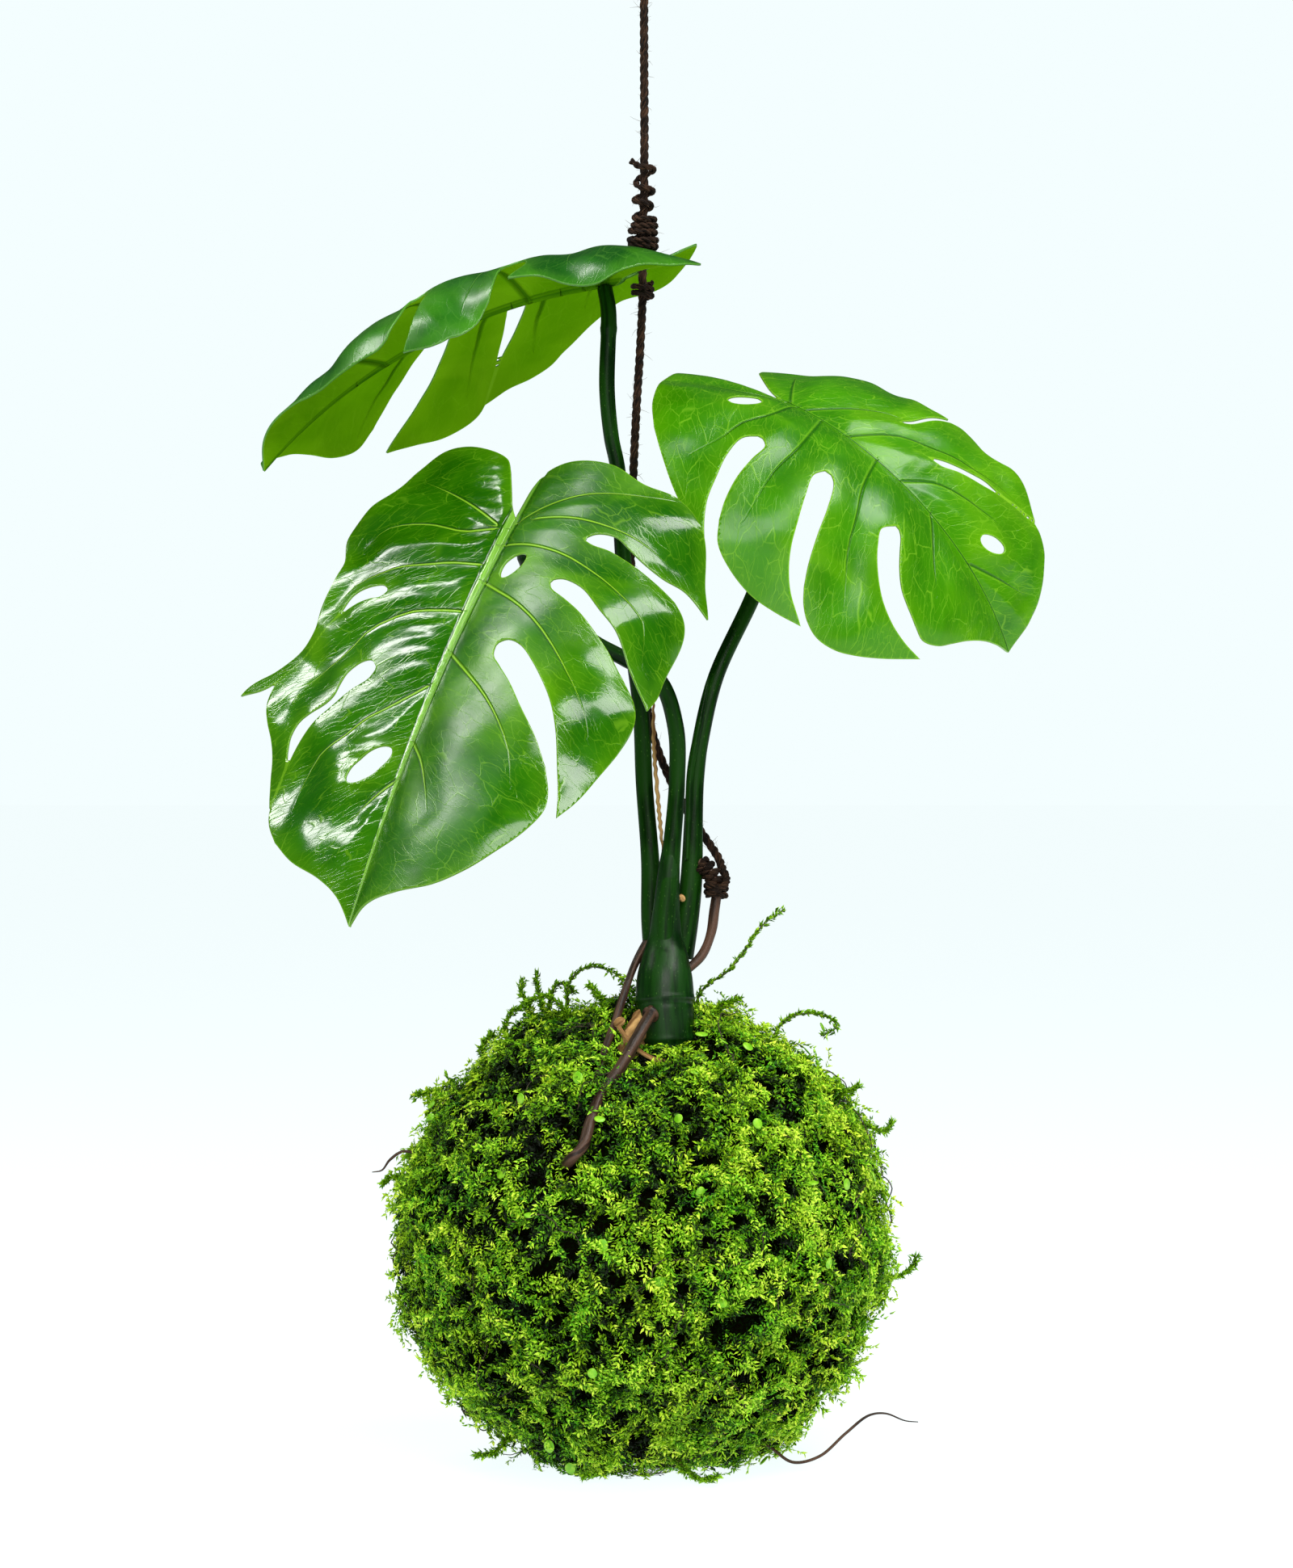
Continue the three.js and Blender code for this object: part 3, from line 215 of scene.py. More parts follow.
def grid_faces(rows: int, columns: int, wrap: bool = True) -> Array:
    """Quads of a grid of vertices stored row by row.

    Args:
        rows: number of rows of vertices.
        columns: number of vertices in a row.
        wrap: whether the last column joins the first.

    Returns:
        An array of quads.
    """
    across = np.arange(columns if wrap else columns - 1)
    i, j = np.meshgrid(np.arange(rows - 1), across, indexing="ij")
    here, there = i * columns + j, i * columns + (j + 1) % columns
    return np.stack([here, there, there + columns, here + columns], -1).reshape(-1, 4)


def end_caps(rows: int, columns: int) -> list[Array]:
    """Two fans that close a wrapped grid, to a foot vertex and a tip vertex stored after it."""
    ring = np.arange(columns)
    turn = (ring + 1) % columns
    last = (rows - 1) * columns
    foot = np.stack([np.full(columns, rows * columns), turn, ring], -1)
    tip = np.stack([np.full(columns, rows * columns + 1), last + ring, last + turn], -1)
    return [foot, tip]


def rod(
    path: Array,
    radius: Array | float,
    sides: int,
    reference: Point,
    squeeze: float = 1.0,
    ripple: Ripple | None = None,
) -> Surface:
    """Carry a round section along a path and close both ends.

    A vertex is the path's point, plus the radius times the cosine of its angle along the first
    direction across, plus the radius times the sine along the second. The field "rod" holds the
    same rod laid out straight: length along it, then the two shares of the radius.

    Args:
        path: points along the middle.
        radius: radius at each point, or one for all.
        sides: number of vertices round the section.
        reference: a direction that the path never runs along.
        squeeze: factor on the second direction across, which flattens the rod.
        ripple: gives an addition to the radius from the length along and the angle.

    Returns:
        The closed surface.
    """
    first, second = path_frame(path, reference)
    radii = np.broadcast_to(np.asarray(radius, float), (len(path),))[:, None]
    along = lengths_along(path)[:, None]
    angle = (TAU * np.arange(sides) / sides)[None, :]
    if ripple is not None:
        radii = radii + ripple(along, angle)
    x, y = radii * np.cos(angle), radii * np.sin(angle) * squeeze
    shell = path[:, None] + x[..., None] * first[:, None] + y[..., None] * second[:, None]
    vertices = np.concatenate([shell.reshape(-1, 3), path[:1], path[-1:]])
    laid = np.stack([np.broadcast_to(along, x.shape), x, y], -1)
    laid = np.concatenate([laid.reshape(-1, 3), [[0, 0, 0], [along[-1, 0], 0, 0]]])
    return Surface(vertices, [grid_faces(len(path), sides), *end_caps(len(path), sides)], {"rod": laid})


def profile(stops: Sequence[Flat], count: int) -> Array:
    """Values along a piece, with smooth turns, from pairs of share of length and value."""
    share, value = np.asarray(stops, float).T
    straight = np.interp(np.linspace(0, 1, count), share, value)
    kernel = np.hanning(max(3, count // 14) | 1)
    padded = np.pad(straight, len(kernel) // 2, mode="edge")
    return np.convolve(padded, kernel / kernel.sum(), mode="valid")


def dome(count: int, least: float) -> Array:
    """Radii along a lump as shares of its middle one: half an ellipse, cut off at both ends."""
    return np.sqrt(np.clip(1 - np.linspace(-1, 1, count) ** 2, least, 1))


# ---------------------------------------------------------------- finishes


def tone(colour: Colour) -> tuple[float, float, float, float]:
    """Turn a display colour from 0 to 255 into linear light."""
    light = [((c / 255 + 0.055) / 1.055) ** 2.4 if c > 10 else c / 255 / 12.92 for c in colour]
    return (light[0], light[1], light[2], 1.0)


def paint(value: Any) -> Any:
    """Leave a socket as it is, and turn a display colour into linear light."""
    return value if isinstance(value, Socket) else tone(value)


class Recipe:
    """One material's node tree, with short calls for the nodes that the finishes use."""

    def __init__(self, name: str) -> None:
        """Start an empty material with a principled skin.

        Args:
            name: the material's name.
        """
        self.material = bpy.data.materials.new(name)
        self.material.use_nodes = True
        self.nodes = self.material.node_tree.nodes
        self.links = self.material.node_tree.links
        self.nodes.clear()
        output = self.nodes.new("ShaderNodeOutputMaterial")
        self.skin = self.nodes.new("ShaderNodeBsdfPrincipled")
        self.links.new(self.skin.outputs[0], output.inputs[0])

    def put(self, node: bpy.types.Node, key: str | int, value: Any) -> None:
        """Link a socket to a node's input, or set the input to a plain value."""
        if isinstance(value, Socket):
            self.links.new(value, node.inputs[key])
        else:
            node.inputs[key].default_value = value

    def node(self, kind: str, inputs: dict[str | int, Any], **settings: Any) -> bpy.types.Node:
        """Add a node.

        Args:
            kind: the node's class.
            inputs: sockets or values for its inputs.
            settings: its own settings.

        Returns:
            The node.
        """
        made = self.nodes.new(kind)
        for key, value in settings.items():
            setattr(made, key, value)
        for key, value in inputs.items():
            self.put(made, key, value)
        return made

    def look(self, **inputs: Any) -> bpy.types.Material:
        """Set inputs of the skin, with underscores for spaces, and hand over the material."""
        for key, value in inputs.items():
            self.put(self.skin, key.replace("_", " "), value)
        return self.material

    def number(self, name: str) -> Socket:
        """A number held at each vertex."""
        return self.node("ShaderNodeAttribute", {}, attribute_name=name).outputs["Fac"]

    def place(self, name: str, scale: Point = (1, 1, 1), shift: Point = (0, 0, 0)) -> Socket:
        """A vector held at each vertex, stretched and shifted."""
        source = self.node("ShaderNodeAttribute", {}, attribute_name=name).outputs["Vector"]
        return self.node("ShaderNodeMapping", {0: source, "Scale": scale, "Location": shift}).outputs[0]

    def body(self) -> Socket:
        """Object coordinates in millimetres."""
        source = self.node("ShaderNodeTexCoord", {}).outputs["Object"]
        return self.node("ShaderNodeMapping", {0: source, "Scale": (1 / MM,) * 3}).outputs[0]

    def part(self, vector: Socket, axis: str) -> Socket:
        """One component of a vector."""
        return self.node("ShaderNodeSeparateXYZ", {0: vector}).outputs[axis]

    def calc(self, operation: str, *values: Any, clamp: bool = False) -> Socket:
        """One step of arithmetic."""
        inputs = dict(enumerate(values))
        return self.node("ShaderNodeMath", inputs, operation=operation, use_clamp=clamp).outputs[0]

    def times(self, first: Any, second: Any) -> Socket:
        """The product of two numbers."""
        return self.calc("MULTIPLY", first, second)

    def gap(self, value: Any, target: float = 0.0) -> Socket:
        """How far a number is from a target."""
        return self.calc("ABSOLUTE", self.calc("SUBTRACT", value, target))

    def noise(
        self, vector: Any, scale: float, detail: float = 2.0, warp: float = 0.0, output: int = 0
    ) -> Socket:
        """Cloudy noise from 0 to 1 with so many features per unit, as a number or (1) a vector."""
        inputs = {"Vector": vector, "Scale": scale, "Detail": detail, "Distortion": warp}
        return self.node("ShaderNodeTexNoise", inputs).outputs[output]

    def cells(self, vector: Any, scale: float, feature: str = "DISTANCE_TO_EDGE") -> Socket:
        """Distance to the edges of a net of cells, or to their middles (feature F1)."""
        inputs = {"Vector": vector, "Scale": scale}
        return self.node("ShaderNodeTexVoronoi", inputs, feature=feature).outputs["Distance"]

    def ease(self, value: Any, low: float, high: float, start: float = 0.0, end: float = 1.0) -> Socket:
        """Run smoothly from start to end as a value goes from low to high."""
        inputs = {0: value, 1: low, 2: high, 3: start, 4: end}
        return self.node("ShaderNodeMapRange", inputs, interpolation_type="SMOOTHSTEP").outputs[0]

    def fade(self, value: Any, low: float, high: float, start: float = 1.0) -> Socket:
        """Run smoothly from start down to 0 as a value goes from low to high."""
        return self.ease(value, low, high, start, 0.0)

    def mix(self, share: Any, first: Any, second: Any) -> Socket:
        """Blend two colours."""
        inputs = {0: share, 6: paint(first), 7: paint(second)}
        return self.node("ShaderNodeMix", inputs, data_type="RGBA").outputs[2]

    def ramp(self, share: Any, stops: Sequence[float], colours: Sequence[Colour]) -> Socket:
        """Run through colours, each at its stop, as a value goes from 0 to 1."""
        made = self.node("ShaderNodeValToRGB", {0: share})
        elements = made.color_ramp.elements
        while len(elements) < len(stops):
            elements.new(0.5)
        for element, position, colour in zip(elements, stops, colours):
            element.position, element.color = position, tone(colour)
        return made.outputs[0]

    def bump(self, height: Any, depth: float, before: Any = None) -> Socket:
        """Turn a height from 0 to 1 into a normal, with its full depth in millimetres."""
        inputs: dict[str | int, Any] = {"Height": height, "Distance": depth * MM, "Strength": 1.0}
        if before is not None:
            inputs["Normal"] = before
        return self.node("ShaderNodeBump", inputs).outputs[0]


class Side(Enum):
    """The two faces of a leaf."""

    UPPER = 0
    LOWER = 1


LEAF_NUMBERS = ("vein", "vein_side", "vein_run", "rib", "margin")
NET_LEAN = 0.55
NET_DRAWN = 0.4
NET_DRIFT: Point = (4.0, 2.5, 0.0)
VEIN_SHADE_AT = 0.6
RIB_SHADE_AT = 1.2
RIDGE_DEPTH = {Side.UPPER: 0.4, Side.LOWER: 0.9}
DULL_FROM, DULL_TO = (-46.0, -36.0), (-6.0, -1.0)


@dataclass(frozen=True)
class LeafFinish:
    """Living leaf skin, with its veins, its fine net and its margin. Colours are display ones."""

    name: str
    side: Side
    deep: Colour
    light: Colour
    sunny: Colour
    vein: Colour
    shade: Colour
    midrib: Colour
    net: Colour
    rough: float = 0.6
    sheen: float = 0.0
    net_share: float = 0.12
    vein_share: float = 0.8
    shade_share: float = 0.7
    vein_width: float = 1.15
    strip_width: float = 1.0
    dull: float = 0.0
    quilt: float = 0.06

    def ground(self, r: Recipe, flat: Socket, grain: Socket, margin: Socket) -> Socket:
        """Deep and light green in clouds, sunny in a few wide patches and along the margin."""
        clouds = r.noise(flat, 0.045, 4.0, 0.6)
        colour = r.mix(r.ease(clouds, 0.36, 0.66), self.deep, self.light)
        colour = r.mix(r.ease(grain, 0.5, 0.8, 0.0, 0.35), colour, self.light)
        patches = r.noise(r.place("flat", shift=(31, 7, 3)), 0.028, 3.0, 0.8)
        patches = r.ease(patches, 0.52, 0.72, 0.0, 0.6)
        sunny = r.calc("ADD", patches, r.fade(margin, 0.4, 7.0, 0.35), clamp=True)
        return r.mix(sunny, colour, self.sunny)

    def threads(self, r: Recipe, flat: Socket) -> Socket:
        """The net of fine veins, here and there broken off.

        It is the edges of wide and of narrow cells, leaning outwards as the side veins do, drawn
        out along them and set wandering by noise.
        """
        lean = r.calc("SUBTRACT", r.part(flat, "X"), r.times(r.gap(r.part(flat, "Y")), NET_LEAN))
        laid = r.node("ShaderNodeCombineXYZ", {0: lean, 1: r.times(r.part(flat, "Y"), NET_DRAWN)}).outputs[0]
        inputs = {0: r.noise(flat, 0.12, 3.0, output=1), 1: NET_DRIFT, 2: laid}
        warped = r.node("ShaderNodeVectorMath", inputs, operation="MULTIPLY_ADD").outputs[0]
        wide, fine = r.cells(warped, 0.2), r.cells(warped, 0.55)
        net = r.calc("MAXIMUM", r.fade(wide, 0.0, 0.022), r.fade(fine, 0.0, 0.045, 0.5))
        return r.times(net, r.ease(r.noise(flat, 0.09, 3.0), 0.3, 0.5))

    def gloss(self, r: Recipe, flat: Socket) -> Socket:
        """Roughness: nearly even, and greater by dull in a band beside the midrib."""
        even = r.ease(r.noise(flat, 0.12, 3.0), 0.3, 0.7, self.rough - 0.02, self.rough + 0.04)
        if not self.dull:
            return even
        across = r.part(flat, "Y")
        worn = r.times(r.ease(across, *DULL_FROM), r.fade(across, *DULL_TO))
        return r.calc("MULTIPLY_ADD", worn, self.dull, even)

    def make(self) -> bpy.types.Material:
        """Build the skin.

        Over the ground lie, one coat after another, the net, a shaded line beside each side
        vein, the thin line of the vein itself, which narrows and fades along its run, a shaded
        line beside the midrib, the midrib's streaky strip and the margin's edge. The height has
        the veins' ridges, the net's creases, low waves and the grain.

        Returns:
            The material.
        """
        r = Recipe(self.name)
        flat = r.place("flat")
        vein, signed, run, rib, margin = (r.number(key) for key in LEAF_NUMBERS)
        near = r.times(r.fade(vein, 1.6, 3.0), r.ease(run, 0.55, 1.0, 1.0, 0.1))
        width = r.ease(run, 0.0, 1.0, self.vein_width, 0.4 * self.vein_width)
        across = r.calc("DIVIDE", signed, width)
        beside = r.gap(across)
        grain = r.noise(flat, 1.1, 3.0)
        threads = self.threads(r, flat)
        shaded = r.times(near, r.fade(r.gap(across, VEIN_SHADE_AT), 0.1, 0.6))
        line = r.times(near, r.fade(beside, 0.12, 0.5))
        streaks = r.noise(r.place("flat", scale=(0.06, 1.6, 1)), 1.0, 2.0)
        strip = r.fade(rib, 0.8 * self.strip_width, 1.1 * self.strip_width)
        coats = (
            (r.times(threads, self.net_share), self.net),
            (r.times(shaded, self.shade_share), self.shade),
            (r.times(line, self.vein_share), self.vein),
            (r.fade(r.gap(rib, RIB_SHADE_AT * self.strip_width), 0.06, 0.3, 0.7), self.shade),
            (strip, r.mix(r.ease(streaks, 0.3, 0.7, 0.0, 0.5), self.midrib, self.light)),
            (r.fade(margin, 0.1, 0.5, 0.5), self.net),
        )
        colour = self.ground(r, flat, grain, margin)
        for share, coat in coats:
            colour = r.mix(share, colour, coat)
        normal = r.bump(r.times(near, r.fade(beside, 0.0, 0.75)), RIDGE_DEPTH[self.side])
        for height, depth in ((threads, -0.02), (r.noise(flat, 0.22, 2.0), self.quilt), (grain, 0.006)):
            normal = r.bump(height, depth, normal)
        return r.look(
            Base_Color=colour, Roughness=self.gloss(r, flat), Specular_IOR_Level=self.sheen, Normal=normal
        )


@dataclass(frozen=True)
class StemFinish:
    """Skin of a petiole, the crown or a root: grain along it, specks and a sheen."""

    name: str
    dark: Colour
    light: Colour
    speck: Colour
    rough: float
    specks: float
    furrow: float
    sheen: float = 0.2

    def make(self) -> bpy.types.Material:
        """Build the skin: long streaks of two tones, short pale specks along it, fine furrows."""
        r = Recipe(self.name)
        streaks = r.noise(r.place("rod", scale=(0.04, 0.7, 0.7)), 1.0, 4.0)
        patches = r.noise(r.place("rod", scale=(0.05, 0.16, 0.16)), 1.0, 2.0)
        dots = r.cells(r.place("rod", scale=(0.45, 1.1, 1.1)), 1.0, "F1")
        colour = r.mix(r.ease(r.calc("ADD", streaks, patches), 0.8, 1.2), self.dark, self.light)
        colour = r.mix(r.times(r.fade(dots, 0.05, 0.16), self.specks), colour, self.speck)
        normal = r.bump(streaks, self.furrow * 2)
        normal = r.bump(r.noise(r.place("rod"), 1.6, 4.0), self.furrow, normal)
        rough = r.ease(patches, 0.3, 0.7, self.rough, self.rough + 0.15)
        return r.look(Base_Color=colour, Roughness=rough, Specular_IOR_Level=self.sheen, Normal=normal)


@dataclass(frozen=True)
class TwineFinish:
    """Rough brown jute: painted shade darkens it between the fibres, which run slantwise round each ply."""

    name: str = "jute"
    dark: Colour = (12, 5, 2)
    light: Colour = (72, 48, 32)

    def make(self) -> bpy.types.Material:
        """Build the fibre: fine streaks along the ply, with paler worn patches."""
        r = Recipe(self.name)
        streaks = r.noise(r.place("rod", scale=(0.35, 3.2, 3.2)), 1.0, 5.0)
        patches = r.noise(r.place("rod", scale=(0.2, 0.2, 0.2)), 1.0, 3.0)
        share = r.ease(r.calc("ADD", streaks, r.times(patches, 0.6)), 0.68, 1.08)
        # The dark colour in the low gaps between the streaks is painted shade between the fibres.
        colour = r.mix(share, self.dark, self.light)
        return r.look(Base_Color=colour, Roughness=0.9, Specular_IOR_Level=0.2, Normal=r.bump(streaks, 0.35))


@dataclass(frozen=True)
class SoilFinish:
    """Damp crumbly soil."""

    name: str = "soil"
    dark: Colour = (16, 11, 7)
    light: Colour = (66, 44, 30)

    def make(self) -> bpy.types.Material:
        """Build the soil: crumbs of many sizes, painted nearly black in their gaps as shade."""
        r = Recipe(self.name)
        crumbs = r.noise(r.body(), 0.5, 6.0)
        # Painted shade: the dark colour falls in the low gaps between the crumbs.
        colour = r.mix(r.ease(crumbs, 0.42, 0.75), self.dark, self.light)
        return r.look(Base_Color=colour, Roughness=0.95, Normal=r.bump(crumbs, 1.2))


@dataclass(frozen=True)
class ShadedBedFinish:
    """The bed under the moss: nearly black, partly the dark matted moss and partly painted shade deep between
    the sprays, with dark green where it catches the light.
    """

    name: str = "moss_bed_painted_shade"
    stops: tuple[float, ...] = (0.0, 0.5, 0.62, 1.0)
    colours: tuple[Colour, ...] = ((3, 2, 1), (12, 10, 4), (10, 26, 3), (40, 62, 10))

    def make(self) -> bpy.types.Material:
        """Build the bed from one fine grain, in colour and in height."""
        r = Recipe(self.name)
        grain = r.noise(r.body(), 0.9, 6.0)
        # Painted shade: nearly black where the grain is low; painted light: dark green where it is raised.
        colour = r.ramp(grain, self.stops, self.colours)
        return r.look(Base_Color=colour, Roughness=0.95, Specular_IOR_Level=0.0, Normal=r.bump(grain, 1.0))


@dataclass(frozen=True)
class MossFinish:
    """Small moss leaves, from shaded dark green to lit yellow-green tips."""

    name: str = "moss_leaflets"
    stops: tuple[float, ...] = (0.0, 0.22, 0.48, 0.74, 1.0)
    green: tuple[Colour, ...] = ((1, 5, 0), (6, 38, 1), (58, 140, 2), (120, 198, 12), (192, 240, 66))
    gold: tuple[Colour, ...] = ((3, 5, 0), (22, 40, 1), (114, 158, 3), (180, 216, 20), (230, 246, 84))

    def make(self) -> bpy.types.Material:
        """Build the colour from the fields "tint" and "hue", broken up into still finer leaves."""
        r = Recipe(self.name)
        fine = r.ease(r.noise(r.body(), 2.4, 2.0), 0.3, 0.7, -0.16, 0.16)
        # The vertex field is the moss's own tone mixed with painted light and shade.
        tint_and_painted_light = r.calc("ADD", r.number("tint_and_painted_light"), fine, clamp=True)
        green, gold = (r.ramp(tint_and_painted_light, self.stops, colours) for colours in (self.green, self.gold))
        return r.look(
            Base_Color=r.mix(r.number("hue"), green, gold), Roughness=0.6, Specular_IOR_Level=0.2
        )


@dataclass(frozen=True)
class PlainFinish:
    """A small piece's skin: two tones in fine clouds."""

    name: str
    dark: Colour
    light: Colour
    rough: float = 0.7
    scale: float = 0.8

    def make(self) -> bpy.types.Material:
        """Build the skin."""
        r = Recipe(self.name)
        clouds = r.noise(r.body(), self.scale, 4.0)
        colour = r.mix(r.ease(clouds, 0.35, 0.7), self.dark, self.light)
        return r.look(Base_Color=colour, Roughness=self.rough, Normal=r.bump(clouds, 0.15))


STEM_GREEN = StemFinish(
    "stem_green", (2, 28, 1), (18, 58, 6), (90, 134, 54), rough=0.3, specks=0.45, furrow=0.05, sheen=0.1
)
CROWN_GREEN = StemFinish(
    "crown_green", (2, 30, 2), (16, 56, 8), (90, 134, 64), rough=0.3, specks=0.4, furrow=0.03
)
ROOT_BROWN = StemFinish(
    "root_brown", (30, 17, 12), (84, 58, 44), (134, 106, 86), rough=0.38, specks=0.25, furrow=0.14, sheen=0.3
)
DRY_TAN = StemFinish(
    "dry_tan", (120, 82, 44), (206, 162, 104), (226, 196, 150), rough=0.7, specks=0.3, furrow=0.25
)


# ---------------------------------------------------------------- leaves


BLADE_FOOT = -3.0
CUT_STEPS, MARGIN_STEPS, HOLE_STEPS = 70, 160, 48
DROOP_START, DROOP_END = 62.0, 108.0
VEIN_PIECES = 12
FINE_ROWS = (0, 0.4, 0.8, 1.2, 1.6, 2.0, 2.4, 2.9, 3.5)
EVEN_ROWS_FROM = 4.2
SHARED_NORMALS = 1.2
WELDS_PER_MM = 200
RIB_EDGE, GROOVE_DEPTH, GROOVE_WIDTH = 1.25, 0.25, 0.3
FOLD_LEAN, FOLD_LENGTH, FOLD_PLACE, FOLD_SPREAD = 0.3, 6.3, 12.0, 11.0


@dataclass(frozen=True)
class Lobe:
    """One lobe of a leaf drawn flat, each point as u along the midrib and w out from it.

    Inner is the inner end of the cut before it; a lobe without one grows on from the lobe before.
    """

    outer: tuple[Flat, ...]
    tip: Flat
    near: tuple[Flat, ...] = ()
    far: tuple[Flat, ...] = ()
    inner: Flat | None = None


@dataclass(frozen=True)
class Hole:
    """An ellipse cut out of a leaf: its middle lies on the line from start to end, so far from start."""

    start: Flat
    end: Flat
    at: float
    long: float
    wide: float

    def outline(self) -> Array:
        """Draw its edge, with the long axis on the line."""
        way = unit(np.subtract(self.end, self.start))
        turn = np.linspace(0, TAU, HOLE_STEPS + 1)[:-1, None]
        centre = np.asarray(self.start) + self.at * way
        return centre + self.long * np.cos(turn) * way + self.wide * np.sin(turn) * way[::-1] * (1, -1)


@dataclass(frozen=True)
class Half:
    """One half of a leaf: which side it is on, how it slopes and curls, its lobes and its holes."""

    side: int
    slope: float
    curl: float
    lobes: tuple[Lobe, ...]
    lift: float = 0.0
    droop: float = 0.0
    creased: float = 1.0
    holes: tuple[Hole, ...] = ()

    def outline(self) -> list[Array]:
        """Draw the edge of the half, and of each hole, as closed flat lines.

        Each lobe runs from its cut's inner end along its near edge, its outer margin and its far
        edge to the next cut.

        Returns:
            The closed lines, the outer one first.
        """
        foot = (BLADE_FOOT, 0.0)
        parts: list[Array] = []
        root, corner = foot, foot
        for lobe, following in zip(self.lobes, (*self.lobes[1:], None)):
            if root is not None:
                parts.append(smooth_path([root, *lobe.near], CUT_STEPS))
                corner = tuple(parts[-1][-1])
            parts.append(smooth_path([corner, *lobe.outer, lobe.tip], MARGIN_STEPS))
            root, corner = following and following.inner, lobe.tip
            if root is not None:
                parts.append(smooth_path([lobe.tip, *reversed(lobe.far), root], CUT_STEPS))
        parts.append(np.array([[self.lobes[-1].tip[0], 0.0], list(foot)]))
        return [np.concatenate(parts), *(hole.outline() for hole in self.holes)]


@dataclass(frozen=True)
class Pose:
    """How a leaf is held: foot of its blade, direction, roll, bend along it and twist."""

    foot: Point
    azimuth: float
    elevation: float
    roll: float
    bend: float
    twist: float


def distance_to_lines(
    points: Array, starts: Array, ends: Array, pieces: int = 1
) -> tuple[Array, Array, Array, Array]:
    """Distance from flat points to the nearest of many straight pieces of line.

    Each point is dropped square onto every piece, held within the piece's ends, and the
    shortest drop is kept.

    Args:
        points: flat points.
        starts: where the pieces start.
        ends: where they end.
        pieces: how many pieces in a row make up one line.

    Returns:
        The distances, signed distances with the sign of the side, the nearest points, and the
        share of its line's length at which each lies.
    """
    best = np.full(len(points), np.inf)
    signed, run = np.zeros(len(points)), np.zeros(len(points))
    nearest = np.zeros_like(points)
    for index, (start, end) in enumerate(zip(starts, ends)):
        way = end - start
        share = np.clip(((points - start) @ way) / max(float(way @ way), 1e-9), 0, 1)
        foot = start + share[:, None] * way
        offset = points - foot
        distance = np.hypot(offset[:, 0], offset[:, 1])
        closer = distance < best
        best = np.where(closer, distance, best)
        sign = np.sign(way[0] * offset[:, 1] - way[1] * offset[:, 0])
        signed = np.where(closer, distance * sign, signed)
        nearest = np.where(closer[:, None], foot, nearest)
        run = np.where(closer, (index % pieces + share) / pieces, run)
    return best, signed, nearest, run


def inside(points: Array, lines: Sequence[Array]) -> Array:
    """Tell which flat points lie inside an outline and outside its holes.

    A point is inside when a level ray from it crosses the closed lines an odd number of times.
    """
    odd = np.zeros(len(points), bool)
    for line in lines:
        for (x0, y0), (x1, y1) in zip(line, np.roll(line, -1, axis=0)):
            if y0 == y1:
                continue
            spans = (points[:, 1] >= min(y0, y1)) & (points[:, 1] < max(y0, y1))
            odd ^= spans & (points[:, 0] < x0 + (points[:, 1] - y0) * (x1 - x0) / (y1 - y0))
    return odd


